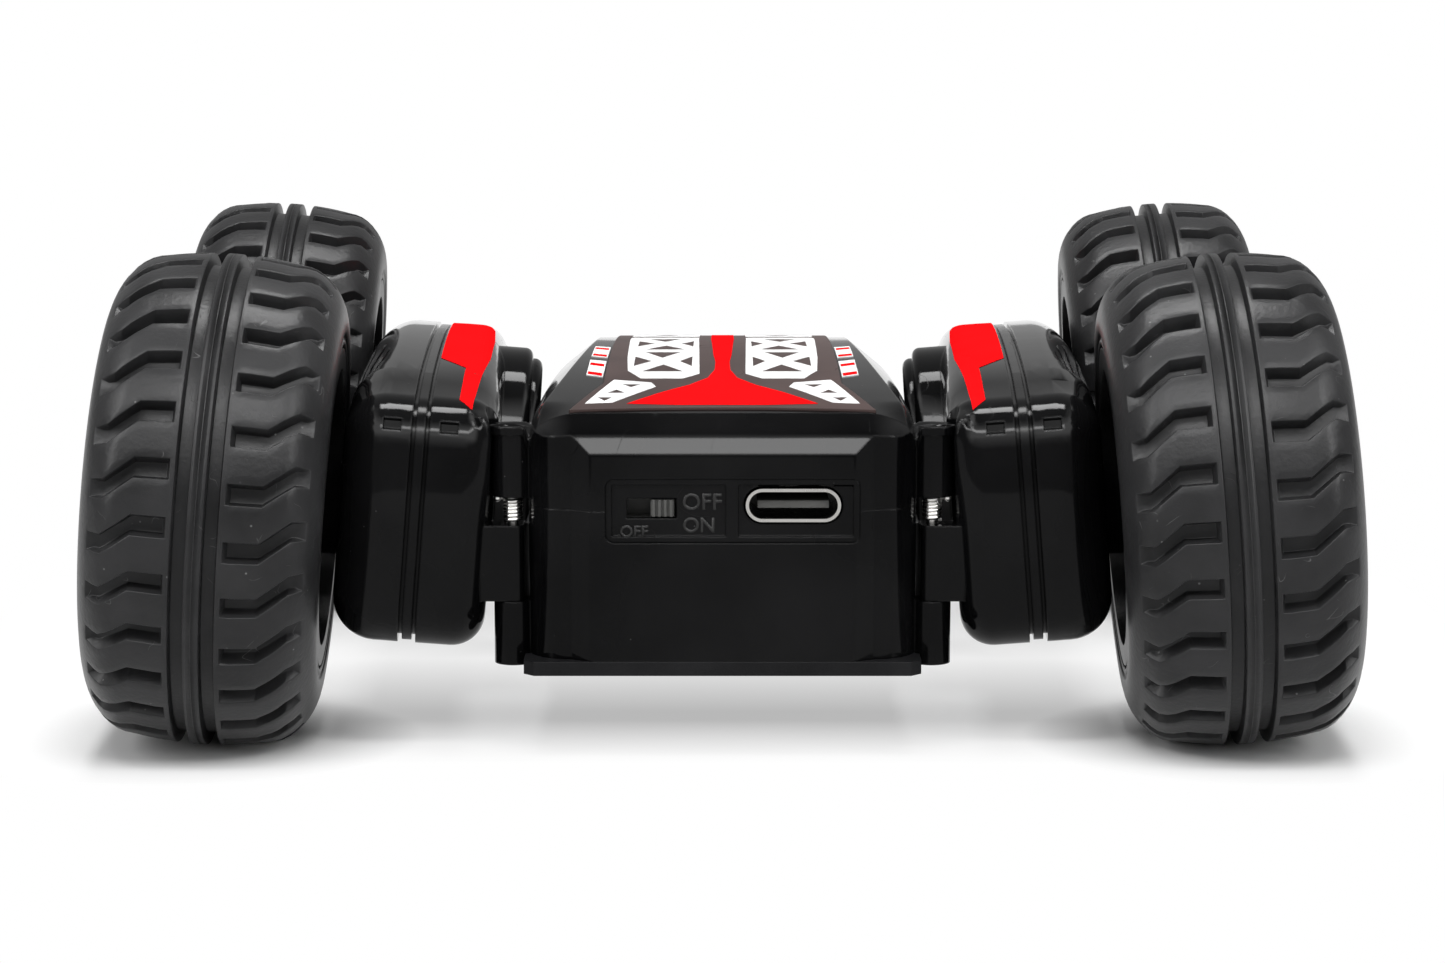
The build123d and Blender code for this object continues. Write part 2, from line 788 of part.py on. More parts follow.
base_screws = [(x * base_screw_x, y * (half_body - base_screw_inset)) for x in (-1, 1) for y in (-1, 1)]


def upright(radius, bottom, top, spots, mode=Mode.ADD):
    with BuildSketch(Plane.XY.offset(bottom)) as profile:
        with Locations(*spots):
            Circle(radius)
    extrude(profile.sketch, amount=top - bottom, mode=mode)


def make_bottom_shell():
    bottom = body_bottom + base_thickness
    post_x = board_width / 2 - standoff_inset
    post_ys = (board_rear + standoff_inset, board_rear + board_length - standoff_inset)
    posts = [(x * post_x, y) for x in (-1, 1) for y in post_ys]
    with BuildPart() as shell:
        extrude(plan_outline(Plane.XY.offset(bottom)), amount=shell_seam - bottom)
        for face in shell.faces().sort_by(Axis.Y)[0], shell.faces().sort_by(Axis.Y)[-1]:
            fillet(face.edges().filter_by(Axis.Z), tail_round)
        for side in (-1, 1):
            hinge_post(post_radius, lower_post_bottom, knuckle_bottom - running_fit, side=side)
        extrude(plan_outline(Plane.XY.offset(floor_top), shell_wall), amount=shell_seam, mode=Mode.SUBTRACT)
        upright(standoff_radius, floor_top, board_top - board_thickness, posts)
        upright(screw_boss_radius, floor_top, floor_top + base_boss_height, base_screws)
        upright(screw_radius, bottom, bottom + base_screw_length, base_screws, Mode.SUBTRACT)
        for side in (-1, 1):
            pin_start = lower_post_bottom + hinge_pin_inset
            hinge_post(hinge_pin_diameter / 2, pin_start, knuckle_bottom, Mode.SUBTRACT, side)
        panel_opening(Mode.SUBTRACT)
    save(shell, "bottom_shell")


def make_base_plate():
    with BuildPart() as base:
        with BuildSketch(Plane.XY.offset(body_bottom)):
            plate = Rectangle(body_width + 2 * base_lip, 2 * half_body)
            chamfer(plate.vertices(), base_corner)
        extrude(amount=base_thickness)
        upright(screw_head_radius, body_bottom, body_bottom + screw_head_height, base_screws, Mode.SUBTRACT)
        upright(screw_radius, body_bottom, body_bottom + base_thickness, base_screws, Mode.SUBTRACT)
        for side in (-1, 1):
            hinge_post(post_radius + slide_fit, 0, shell_seam, Mode.SUBTRACT, side)
    save(base, "base_plate")
    with BuildPart() as screws:
        upright(screw_head_radius, body_bottom, body_bottom + screw_head_height, base_screws)
        upright(screw_radius, body_bottom, body_bottom + base_thickness + base_screw_length, base_screws)
    save(screws, "chassis_screws")


# ---- Tail sockets, board and battery ------------------------------------------------------------
def block(x, y, z, width, length, height, mode=Mode.ADD):
    """A block centred on x, running forward from y and up from z."""
    with BuildSketch(Plane.XY.offset(z)) as profile:
        with Locations((x, y)):
            Rectangle(width, length, align=(Align.CENTER, Align.MIN))
    extrude(profile.sketch, amount=height, mode=mode)


def usb_slot(y, length, grow=0.0, mode=Mode.ADD):
    """The socket's rounded outline, running forward from y."""
    with BuildSketch(Plane(origin=(usb_x, y, usb_z), x_dir=(-1, 0, 0), z_dir=(0, 1, 0))) as profile:
        RectangleRounded(usb_width + 2 * grow, usb_height + 2 * grow, usb_height / 2 + grow - 0.01)
    extrude(profile.sketch, amount=length, mode=mode)


def panel_plate(y, thickness):
    """The port panel's rounded plate, running forward from y."""
    with BuildSketch(Plane.XZ.offset(-y)) as profile:
        with Locations(((panel_left + panel_right) / 2, (panel_bottom + panel_top) / 2)):
            RectangleRounded(panel_right - panel_left, panel_top - panel_bottom, panel_corner)
    extrude(profile.sketch, amount=-thickness)


def make_port_panel(face):
    height = panel_top - panel_bottom - 2 * rim_width
    bottom = switch_z - switch_window_height / 2
    depth = panel_thickness
    with BuildPart() as panel:
        panel_plate(face - rim_height, rim_height + depth)
        for low, high in ((panel_left, divider_x), (divider_x, panel_right)):
            middle = (low + high) / 2
            width = high - low - 2 * rim_width
            block(middle, face - rim_height, panel_bottom + rim_width, width, rim_height, height, cut)
        block(switch_x, face, bottom, switch_window_width, depth, switch_window_height, cut)
        usb_slot(face, depth, usb_gap, cut)
        for x in port_slots:
            block(x, face, port_slot_bottom, port_slot_width, port_slot_depth, port_slot_height, cut)
    save(panel, "port_panel")


def make_usb_port(face):
    start = face - usb_proud
    with BuildPart() as shell:
        usb_slot(start, usb_depth)
        usb_slot(start, usb_depth - usb_wall, -usb_wall, Mode.SUBTRACT)
    save(shell, "usb_port_shell")
    reach = usb_depth - usb_wall - tongue_setback
    with BuildPart() as tongue:
        block(usb_x, start + tongue_setback, usb_z - tongue_height / 2, tongue_width, reach, tongue_height)
    save(tongue, "usb_tongue")


def make_switch(face):
    back = face + panel_thickness
    bottom = switch_z - switch_window_height / 2
    with BuildPart() as switch:
        block(switch_x, back, board_top, switch_body_width, switch_body_depth, switch_body_height)
        block(switch_x, back, bottom, switch_window_width, knob_root, switch_window_height, cut)
    save(switch, "switch_body")
    height = switch_window_height - 2 * slide_fit
    bottom = switch_z - height / 2
    front = face + knob_recess
    knob_x = switch_x + switch_travel / 2
    pitch = knob_width / knob_ribs
    with BuildPart() as knob:
        block(knob_x, front, bottom, knob_width, back + knob_root - slide_fit - front, height)
        for rib in range(knob_ribs):
            x = knob_x + (rib - (knob_ribs - 1) / 2) * pitch
            block(x, front - rib_depth, bottom, pitch / 2, rib_depth, height)
    save(knob, "switch_knob")


def make_inside():
    with BuildPart() as board:
        block(0, board_rear, board_top - board_thickness, board_width, board_length, board_thickness)
    save(board, "circuit_board")
    with BuildPart() as battery:
        block(0, battery_start, floor_top, battery_width, battery_length, battery_height)
        fillet(battery.edges().filter_by(Axis.Y), battery_round)
    save(battery, "battery_pack")


# ---- Hinges -------------------------------------------------------------------------------------
def make_hinges():
    low = lower_post_bottom + hinge_pin_inset
    with BuildPart() as pins:
        for side in (-1, 1):
            hinge_post(hinge_pin_diameter / 2, low, upper_post_top - hinge_pin_inset, side=side)
    save(pins, "hinge_pins")
    inner = hinge_pin_diameter / 2 + running_fit
    outer = inner + spring_wire
    bottom = knuckle_top + slide_fit
    with BuildPart() as springs:
        for side in (-1, 1):
            hinge_post(outer, bottom, upper_post_bottom, side=side)
            hinge_post(inner, bottom, upper_post_bottom, Mode.SUBTRACT, side)
            leg_start = (side * (hinge_x + inner), hinge_y, upper_post_bottom - spring_wire)
            with BuildSketch(Plane(origin=leg_start, x_dir=(0, 1, 0), z_dir=(side, 0, 0))):
                Circle(spring_wire / 2)
            extrude(amount=spring_leg - inner)
    save(springs, "hinge_springs")


def make_wheels():
    masters = {"tyre": make_tyre(), "rim": make_rim(), "hub_cap": make_hub_cap(), "axle": make_axle()}
    for side in sides:
        for end in ends:
            for name, master in masters.items():
                save_wheel_part(master, name, side, end)


make_wheels()
for side in sides:
    make_train(side)
make_pod_inner()
make_pod_outer()
make_pod_trim()
make_pod_inner_parts()
make_top_shell()
make_deck()
make_bottom_shell()
make_base_plate()
port_face = panel_recess - half_body
make_port_panel(port_face)
make_usb_port(port_face)
make_switch(port_face)
make_inside()
make_hinges()
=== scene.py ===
import json
import math

import bmesh
import bpy
from bpy.props import FloatProperty, FloatVectorProperty, IntProperty, PointerProperty
from bpy.types import Operator, Panel, PropertyGroup
from mathutils import Matrix, Vector
from mathutils.bvhtree import BVHTree


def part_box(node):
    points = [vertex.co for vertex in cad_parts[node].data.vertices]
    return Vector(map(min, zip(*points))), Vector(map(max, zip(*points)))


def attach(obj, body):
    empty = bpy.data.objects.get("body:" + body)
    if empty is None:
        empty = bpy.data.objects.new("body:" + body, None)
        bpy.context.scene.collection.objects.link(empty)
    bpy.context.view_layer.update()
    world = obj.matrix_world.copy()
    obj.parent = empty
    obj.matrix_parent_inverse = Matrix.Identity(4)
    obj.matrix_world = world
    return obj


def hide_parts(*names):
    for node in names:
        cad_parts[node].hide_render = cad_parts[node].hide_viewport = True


bl_info = {
    "name": "Stunt Car Finish",
    "version": (1, 0, 0),
    "blender": (4, 5, 0),
    "location": "3D View > Sidebar > Stunt Car",
    "description": "Treaded tyres, printed decals, springs, lettering and finishes of a small stunt car",
    "category": "Object",
}

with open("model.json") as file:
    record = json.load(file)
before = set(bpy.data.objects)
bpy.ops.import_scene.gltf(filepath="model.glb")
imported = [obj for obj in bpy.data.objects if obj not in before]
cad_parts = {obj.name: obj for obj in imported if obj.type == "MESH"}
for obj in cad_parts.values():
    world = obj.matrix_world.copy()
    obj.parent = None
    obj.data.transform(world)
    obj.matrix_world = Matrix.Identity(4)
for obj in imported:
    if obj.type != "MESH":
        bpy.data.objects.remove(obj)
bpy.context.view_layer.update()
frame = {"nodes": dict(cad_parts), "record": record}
record = frame["record"]
joints = {joint["name"]: joint for joint in record["behaviour"]["joints"]}

MM = 0.001
SIDES = {"right": 1, "left": -1}
ENDS = {"rear": -1, "front": 1}


# ---- Materials ----------------------------------------------------------------------------------
GLOSS_EDGE = 0.28 * MM
SATIN_EDGE = 0.15 * MM
MOUTH_EDGE = 0.3 * MM
# Colour of the painted shade inside the USB socket, beyond its mouth
PAINTED_SOCKET_SHADE = (0.035, 0.035, 0.034)
INK_ROUGHNESS = 0.5


class Value:
    """A number on a shader socket. Arithmetic on it adds Math nodes."""

    def __init__(self, finish, socket):
        self.finish = finish
        self.socket = socket

    def combine(self, operation, *operands):
        node = self.finish.node("ShaderNodeMath", {"operation": operation}, dict(enumerate(operands)))
        return Value(self.finish, node.outputs[0])

    def __add__(self, other):
        return self.combine("ADD", self, other)

    def __sub__(self, other):
        return self.combine("SUBTRACT", self, other)

    def __rsub__(self, other):
        return self.combine("SUBTRACT", other, self)

    def __mul__(self, other):
        return self.combine("MULTIPLY", self, other)

    def __abs__(self):
        return self.combine("ABSOLUTE", self)

    def root(self):
        return self.combine("SQRT", self)

    def larger(self, other):
        return self.combine("MAXIMUM", self, other)

    __radd__ = __add__
    __rmul__ = __mul__


class Nodes:
    """A node tree under way: its nodes and the values that feed them."""

    def __init__(self, tree):
        self.tree = tree

    def feed(self, socket, value):
        if isinstance(value, Value):
            value = value.socket
        if isinstance(value, bpy.types.NodeSocket):
            self.tree.links.new(value, socket)
        elif isinstance(value, tuple) and len(value) == 3 and socket.type == "RGBA":
            socket.default_value = (*value, 1)
        else:
            socket.default_value = value

    def node(self, kind, settings=None, inputs=None):
        node = self.tree.nodes.new(kind)
        for name, value in (settings or {}).items():
            setattr(node, name, value)
        for name, value in (inputs or {}).items():
            self.feed(node.inputs[name], value)
        return node

    def ramp(self, value, low, high):
        """0 below low and 1 above high, or the other way round where low is the larger."""
        inputs = {"Value": value, "From Min": min(low, high), "From Max": max(low, high)}
        inputs["To Min"] = 0.0 if low < high else 1.0
        inputs["To Max"] = 1.0 - inputs["To Min"]
        return Value(self, self.node("ShaderNodeMapRange", None, inputs).outputs[0])

    def rays(self, *kinds):
        """1 for rays of those kinds, 0 for others."""
        path = self.node("ShaderNodeLightPath")
        total = Value(self, path.outputs[kinds[0]])
        for kind in kinds[1:]:
            total = total.larger(Value(self, path.outputs[kind]))
        return total


class Finish(Nodes):
    """A material under way: a Principled shader and the nodes that feed it."""

    def __init__(self, name, **constants):
        self.material = bpy.data.materials.new(name)
        self.material.use_nodes = True
        super().__init__(self.material.node_tree)
        self.shader = self.tree.nodes["Principled BSDF"]
        for socket, value in constants.items():
            self.set(socket.replace("_", " ").title().replace("Ior", "IOR"), value)
        self.place = self.node("ShaderNodeTexCoord").outputs["Object"]

    def set(self, socket, value):
        self.feed(self.shader.inputs[socket], value)

    def noise(self, size, detail=3.0, distortion=0.0):
        """Cloudy noise from 0 to 1 with features of about that size in metres."""
        inputs = {"Vector": self.place, "Scale": 1 / size, "Detail": detail, "Distortion": distortion}
        return Value(self, self.node("ShaderNodeTexNoise", None, inputs).outputs[0])

    def stretched_noise(self, sizes, turn=(0, 0, 0), detail=2.0):
        """Noise drawn out along the object's axes, with a feature size along each."""
        inputs = {"Vector": self.place, "Rotation": turn, "Scale": tuple(1 / size for size in sizes)}
        mapping = self.node("ShaderNodeMapping", None, inputs)
        inputs = {"Vector": mapping.outputs[0], "Scale": 1.0, "Detail": detail}
        return Value(self, self.node("ShaderNodeTexNoise", None, inputs).outputs[0])

    def specks(self, spacing, size):
        """Small round dots, one in each cell of that spacing, with soft edges."""
        inputs = {"Vector": self.place, "Scale": 1 / spacing}
        cells = self.node("ShaderNodeTexVoronoi", None, inputs)
        return self.ramp(Value(self, cells.outputs["Distance"]), size / spacing, 0.5 * size / spacing)

    def hairlines(self, size, width, detail=1.0):
        """Thin wandering lines: the level lines of a noise."""
        return self.ramp(abs(self.noise(size, detail, 0.4) - 0.5), width, 0.3 * width)

    def blend(self, factor, first, second):
        """A colour between two, by a factor."""
        node = self.node("ShaderNodeMix", {"data_type": "RGBA"})
        for index, value in ((0, factor), (6, first), (7, second)):
            self.feed(node.inputs[index], value)
        return node.outputs[2]

    def bump(self, height, depth, edge=0.0):
        """Relief on the surface, over edges softened to a radius."""
        inputs = {"Height": height, "Distance": depth, "Strength": 1.0}
        if edge:
            softened = self.node("ShaderNodeBevel", {"samples": 4}, {"Radius": edge})
            inputs["Normal"] = softened.outputs["Normal"]
        self.set("Normal", self.node("ShaderNodeBump", None, inputs).outputs["Normal"])


finishes = {}


def finish_of(name, build, *values):
    """The named material, built the first time it is asked for."""
    if name not in finishes:
        finishes[name] = build(name, *values)
    return finishes[name]


def gloss_plastic(name, colour, roughness, gloss):
    """Polished moulded plastic with faint handling marks and dust."""
    finish = Finish(name, specular_ior_level=gloss)
    haze = finish.ramp(finish.noise(14 * MM), 0.35, 0.7)
    marks = finish.hairlines(9 * MM, 0.004) * finish.ramp(finish.noise(6 * MM), 0.52, 0.62)
    dust = finish.specks(1.7 * MM, 0.09 * MM) * finish.ramp(finish.noise(5 * MM), 0.55, 0.6)
    pale = tuple(min(1.0, part * 1.5 + 0.003) for part in colour)
    dusty = tuple(part * 0.6 + 0.10 for part in colour)
    tone = finish.blend(haze, colour, pale)
    finish.set("Base Color", finish.blend(dust * 0.35, tone, dusty))
    finish.set("Roughness", haze * 0.03 + marks * 0.18 + dust * 0.3 + roughness)
    finish.bump(finish.noise(6 * MM, 1.0) * 2.5 + marks * -0.1, 0.006 * MM, GLOSS_EDGE)
    return finish


def satin_plastic(name, colour, roughness):
    """Moulded plastic with a fine spark-eroded grain."""
    finish = Finish(name, specular_ior_level=0.12)
    cloud = finish.noise(7 * MM)
    grain = finish.noise(0.25 * MM, 2.0)
    pale = tuple(min(1.0, part * 1.6 + 0.004) for part in colour)
    finish.set("Base Color", finish.blend(finish.ramp(cloud, 0.3, 0.75), colour, pale))
    finish.set("Roughness", cloud * 0.12 + grain * 0.08 + roughness)
    finish.bump(grain, 0.02 * MM, SATIN_EDGE)
    return finish


def printed_ink(name, colour, roughness):
    """Screen-printed ink with a faint grain."""
    finish = Finish(name, specular_ior_level=0.0)
    cloud = finish.noise(5 * MM)
    grain = finish.noise(0.35 * MM, 2.0)
    deep = tuple(part * 0.88 for part in colour)
    finish.set("Base Color", finish.blend(finish.ramp(cloud * 0.7 + grain * 0.3, 0.35, 0.65), deep, colour))
    finish.set("Roughness", grain * 0.08 + roughness)
    finish.bump(grain, 0.004 * MM)
    return finish


def soft_rubber(name, colour):
    """Moulded soft rubber: faint clouding, scuffs, dust specks and a skin of fine grain."""
    finish = Finish(name, specular_ior_level=0.16)
    cloud = finish.noise(9 * MM, 4.0)
    grain = finish.noise(0.5 * MM, 3.0)
    rubs = finish.hairlines(3 * MM, 0.004) * finish.ramp(finish.noise(2.5 * MM), 0.6, 0.66)
    dust = finish.specks(2.3 * MM, 0.13 * MM) * finish.ramp(finish.noise(3 * MM), 0.5, 0.58)
    worn = tuple(part * 1.9 + 0.004 for part in colour)
    light = (0.22, 0.22, 0.22)
    tone = finish.blend(finish.ramp(cloud, 0.3, 0.72), colour, worn)
    tone = finish.blend(rubs * 0.28, tone, light)
    finish.set("Base Color", finish.blend(dust * 0.6, tone, light))
    finish.set("Roughness", cloud * 0.14 + grain * 0.06 + rubs * 0.12 + 0.24)
    finish.bump(grain * 0.6 + cloud * 0.8 + rubs * 0.25, 0.05 * MM)
    return finish


def bright_metal(name, colour, roughness, mouth=None):
    """Drawn or turned metal with fine lines, tarnish in patches and a few dull spots.

    Inside a socket, forward of its mouth, the metal is darkened by painted shade.
    """
    finish = Finish(name)
    lines = finish.stretched_noise((0.12 * MM, 0.12 * MM, 4 * MM))
    tarnish = finish.ramp(finish.noise(2.5 * MM), 0.45, 0.7)
    dull = tuple(part * 0.6 for part in colour)
    shade = finish.blend(tarnish * 0.55, colour, dull)
    if mouth is not None:
        parts = finish.node("ShaderNodeSeparateXYZ", None, {"Vector": finish.place}).outputs
        # Painted shade: the metal darkens beyond the socket's mouth, where little light gets in
        inside = finish.ramp(Value(finish, parts[1]), mouth + MOUTH_EDGE, mouth + 2 * MOUTH_EDGE)
        shade = finish.blend(inside, shade, PAINTED_SOCKET_SHADE)
    finish.set("Base Color", shade)
    finish.set("Metallic", 1.0 - tarnish * 0.1)
    finish.set("Roughness", lines * 0.16 + tarnish * 0.1 + roughness)
    finish.bump(lines, 0.006 * MM)
    return finish


def solder_mask(name, colour):
    """A green board with paler copper tracks under the mask."""
    finish = Finish(name)
    tracks = finish.ramp(finish.stretched_noise((9 * MM, 1.1 * MM, 9 * MM), detail=0.0), 0.5, 0.53)
    pale = tuple(part * 1.7 + 0.01 for part in colour)
    finish.set("Base Color", finish.blend(tracks, colour, pale))
    finish.set("Roughness", tracks * 0.1 + 0.28)
    finish.bump(tracks, 0.03 * MM)
    return finish


# ---- Pieces -------------------------------------------------------------------------------------
def add_piece(name, mesh_under_way, finish, body):
    """The finished mesh as an object of its own, riding on a body."""
    mesh = bpy.data.meshes.new(name)
    mesh_under_way.to_mesh(mesh)
    mesh_under_way.free()
    mesh.materials.append(finish.material)
    piece = bpy.data.objects.new(name, mesh)
    bpy.context.scene.collection.objects.link(piece)
    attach(piece, body)
    return piece


def round_over(mesh, sharpest, width, segments=2):
    """Bevels the edges that turn by more than an angle, and shades the rest smooth."""
    for face in mesh.faces:
        face.smooth = True
    sharp = [edge for edge in mesh.edges if len(edge.link_faces) == 2 and edge.calc_face_angle() > sharpest]
    bmesh.ops.bevel(
        mesh,
        geom=sharp,
        offset=width,
        segments=segments,
        profile=0.5,
        affect="EDGES",
        material=-1,
        clamp_overlap=False,
    )
    for face in mesh.faces:
        face.smooth = True


def outline_sheet(outline, holes=()):
    """A flat sheet inside one closed outline, with holes left open."""
    mesh = bmesh.new()
    for loop in (outline, *holes):
        verts = [mesh.verts.new((x, y, 0)) for x, y in loop]
        for first, second in zip(verts, verts[1:] + verts[:1]):
            mesh.edges.new((first, second))
    bmesh.ops.triangle_fill(mesh, use_beauty=True, use_dissolve=False, edges=mesh.edges[:])
    return mesh


def slice_across(mesh, axis, low, high, step):
    """Cuts a flat sheet into strips along an axis, so that it can bend."""
    count = int((high - low) / step)
    normal = Vector((axis == 0, axis == 1, 0))
    for index in range(1, count):
        place = normal * (low + index * (high - low) / count)
        whole = mesh.verts[:] + mesh.edges[:] + mesh.faces[:]
        bmesh.ops.bisect_plane(mesh, geom=whole, plane_co=place, plane_no=normal)


def wheel_place(side, end):
    """The wheel's own axes: z out along its axle, y up, and its origin at the wheel's middle."""
    spin = joints[f"{end}_{side}_wheel_spin"]
    out = Vector(spin["axis"]).normalized()
    up = (Vector((0, 0, 1)) - out * out.z).normalized()
    turned = Matrix((up.cross(out), up, out)).transposed().to_4x4()
    return Matrix.Translation(spin["pos_m"]) @ turned


def pod_place(side):
    """The pod's own axes: x out along its axles, y forward and z up, and its origin between them."""
    rear, front = [Vector(joints[f"{end}_{side}_wheel_spin"]["pos_m"]) for end in ENDS]
    out = Vector(joints[f"rear_{side}_wheel_spin"]["axis"]).normalized()
    forward = (front - rear).normalized()
    up = out.cross(forward)
    up *= math.copysign(1, up.z)
    turned = Matrix((out, forward, up)).transposed().to_4x4()
    return Matrix.Translation((rear + front) / 2) @ turned


# ---- Tyres --------------------------------------------------------------------------------------
class TyreSettings(PropertyGroup):
    slots: IntProperty(name="Slots", description="Slots in each band of tread", default=28, min=8)
    slot_height: FloatProperty(
        name="Slot height", description="Along the tread", default=1.95 * MM, unit="LENGTH", precision=5
    )
    slot_depth: FloatProperty(
        name="Slot depth", description="Below the tread", default=1.6 * MM, unit="LENGTH", precision=5
    )
    slot_rise: FloatProperty(
        name="Slot rise", description="Step of the zig-zag",
        default=2.2 * MM, unit="LENGTH", precision=5,
    )
    colour: FloatVectorProperty(
        name="Rubber", description="Colour of the rubber",
        default=(0.012, 0.012, 0.0125), subtype="COLOR", min=0, max=1,
    )


TYRE_RADIUS = 24.0 * MM
CROWN_RADIUS = 34.0 * MM
HALF_WIDTH = 11.1 * MM
SHOULDER = 6.8 * MM
SHOULDER_POWER = 1.75  # of the curve from the tread to the sidewall; 2 is an ellipse
SIDEWALL = 18.0 * MM

# The middle rib with its moulding line, between two grooves
RIB_SIDE = 0.725 * MM
MOULD_LINE_SIDE = 0.08 * MM
MOULD_LINE_RISE = 0.04 * MM
GROOVE_DEPTH = 1.3 * MM
GROOVE_FLOOR = (0.8 * MM, 2.0 * MM)
GROOVE_SIDE = 2.125 * MM

# The section's stations across the tread, then its way down to the rim as (across, radius), in millimetres
TREAD_STATIONS = (
    2.6, 3.1, 3.9, 4.9, 5.85, 6.5, 7.2, 7.9, 8.6, 9.2, 9.9, 10.2, 10.5, 10.75, 10.95, 11.06, 11.1
)
BEAD = (
    (11.1, 17.4), (11.02, 17.0), (10.8, 16.85), (10.75, 16.55), (10.95, 16.4), (10.98, 16.1),
    (10.9, 15.9), (10.0, 15.9), (10.0, 14.6)
)

SLOT_START = 3.1 * MM
ZIGZAG_START = 5.85 * MM
ZIGZAG_END = 8.6 * MM
SLOT_END = 9.9 * MM
SLOT_TAPER = 0.78  # of a slot's height, at its floor
SLOT_DRAFT = 0.3 * MM
BAND_LAG = 0.36  # of a pitch, between the two bands
BAND_BLEND = 2 * MM
END_SLANT = 0.35 * MM
TREAD_INSIDE = 20 * MM
CLOSE = 0.01 * MM
MERGE = 0.002 * MM
RUBBER_EDGE = 0.09 * MM
RUBBER_ANGLE = math.radians(34)


def crown(across):
    """The tread's radius at a distance from the wheel's middle."""
    return TYRE_RADIUS - CROWN_RADIUS + math.sqrt(CROWN_RADIUS**2 - across**2)


def surface_radius(across):
    """The tread's and shoulder's outer radius at a distance from the wheel's middle."""
    across = abs(across)
    if across <= SHOULDER:
        return crown(across)
    share = min(1.0, (across - SHOULDER) / (HALF_WIDTH - SHOULDER))
    return SIDEWALL + (crown(SHOULDER) - SIDEWALL) * (1 - share**SHOULDER_POWER) ** (1 / SHOULDER_POWER)


def half_section():
    """Half of the tyre's section from its middle to the bead, as (across, radius) pairs."""
    pairs = [(0, TYRE_RADIUS + MOULD_LINE_RISE), (MOULD_LINE_SIDE, TYRE_RADIUS), (RIB_SIDE, TYRE_RADIUS)]
    pairs += [(across, TYRE_RADIUS - GROOVE_DEPTH) for across in GROOVE_FLOOR]
    pairs.append((GROOVE_SIDE, crown(GROOVE_SIDE)))
    pairs += [(across * MM, surface_radius(across * MM)) for across in TREAD_STATIONS]
    pairs += [(across * MM, radius * MM) for across, radius in BEAD]
    return pairs


def zigzag(across, rise):
    """How far a slot has climbed along the tread at a distance from the wheel's middle."""
    share = (abs(across) - ZIGZAG_START) / (ZIGZAG_END - ZIGZAG_START)
    return math.copysign(rise * min(1.0, max(0.0, share)), across)


def treaded_tyre(settings):
    """One tyre about its own axle.

    The section runs across a grid whose rows go round the wheel and follow the zig-zag. The faces of
    the slot rows are pushed in.
    """
    half = half_section()
    section = [(-across, radius) for across, radius in reversed(half)] + half[1:]
    section.append(section[0])
    pitch = 2 * math.pi * TYRE_RADIUS / settings.slots
    rim = settings.slot_height / 2
    block = pitch - settings.slot_height
    rows = [-rim, 0, rim, rim + 0.25 * block, rim + 0.5 * block, rim + 0.75 * block]
    columns = len(section) - 1
    count = settings.slots * len(rows)

    mesh = bmesh.new()
    bmesh.ops.create_grid(mesh, x_segments=columns, y_segments=count, size=1)
    across_of = mesh.verts.layers.float.new("across")
    along_of = mesh.verts.layers.float.new("along")
    slot_of = mesh.verts.layers.float.new("slot")

    def settle(vert, across, along, radius):
        lag = BAND_LAG * pitch / 2 * max(-1.0, min(1.0, across / BAND_BLEND))
        angle = -(vert[slot_of] * pitch + along + zigzag(across, settings.slot_rise) - lag) / TYRE_RADIUS
        vert.co = (radius * math.cos(angle), radius * math.sin(angle), across)

    def is_slot_corner(column, row):
        in_band = SLOT_START - CLOSE <= abs(section[column][0]) <= SLOT_END + CLOSE
        return row % len(rows) <= 2 and in_band

    for vert in mesh.verts:
        column = round((vert.co.x + 1) / 2 * columns)
        row = round((vert.co.y + 1) / 2 * count)
        across, radius = section[column]
        along = rows[row % len(rows)]
        vert[slot_of] = row // len(rows)
        vert[along_of] = along
        start = abs(abs(across) - SLOT_START) < CLOSE
        if start and is_slot_corner(column, row):
            across -= END_SLANT * along / rim
        vert[across_of] = across
        settle(vert, across, along, radius)

    def in_slot(face):
        spots = [abs(vert[across_of]) for vert in face.verts]
        alongs = [vert[along_of] for vert in face.verts]
        bands = len({vert[across_of] > 0 for vert in face.verts}) == 1
        tread = min(spots) > SLOT_START - 1.5 * END_SLANT and max(spots) < SLOT_END + CLOSE
        outside = min(vert.co.xy.length for vert in face.verts) > TREAD_INSIDE
        return bands and tread and outside and max(alongs) <= rim + CLOSE

    pushed = [face for face in mesh.faces if in_slot(face)]
    grown = bmesh.ops.extrude_face_region(mesh, geom=pushed)
    bmesh.ops.delete(mesh, geom=[face for face in pushed if face.is_valid], context="FACES_ONLY")
    for vert in [item for item in grown["geom"] if isinstance(item, bmesh.types.BMVert)]:
        across = vert[across_of]
        if abs(across) < SLOT_START + 1.5 * END_SLANT:
            across += math.copysign(SLOT_DRAFT, across)
        runs_out = abs(across) > SLOT_END - CLOSE
        radius = surface_radius(across) if runs_out else crown(across) - settings.slot_depth
        settle(vert, across, vert[along_of] * (1.0 if runs_out else SLOT_TAPER), radius)
    bmesh.ops.remove_doubles(mesh, verts=mesh.verts[:], dist=MERGE)
    bmesh.ops.recalc_face_normals(mesh, faces=mesh.faces[:])
    round_over(mesh, RUBBER_ANGLE, RUBBER_EDGE)
    return mesh


class CAR_OT_tyres(Operator):
    """Make the four treaded tyres"""

    bl_idname = "car.tyres"
    bl_label = "Tyres"

    def execute(self, context):
        settings = context.scene.car_tyres
        rubber = finish_of("rubber", soft_rubber, tuple(settings.colour))
        master = treaded_tyre(settings)
        for side in SIDES:
            for end in ENDS:
                tyre = master.copy()
                bmesh.ops.transform(tyre, matrix=wheel_place(side, end), verts=tyre.verts[:])
                name = f"treaded_tyre_{end}_{side}"
                piece = add_piece(name, tyre, rubber, f"{end}_{side}_wheel")
                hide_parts(f"tyre_{end}_{side}")
        master.free()
        return {"FINISHED"}


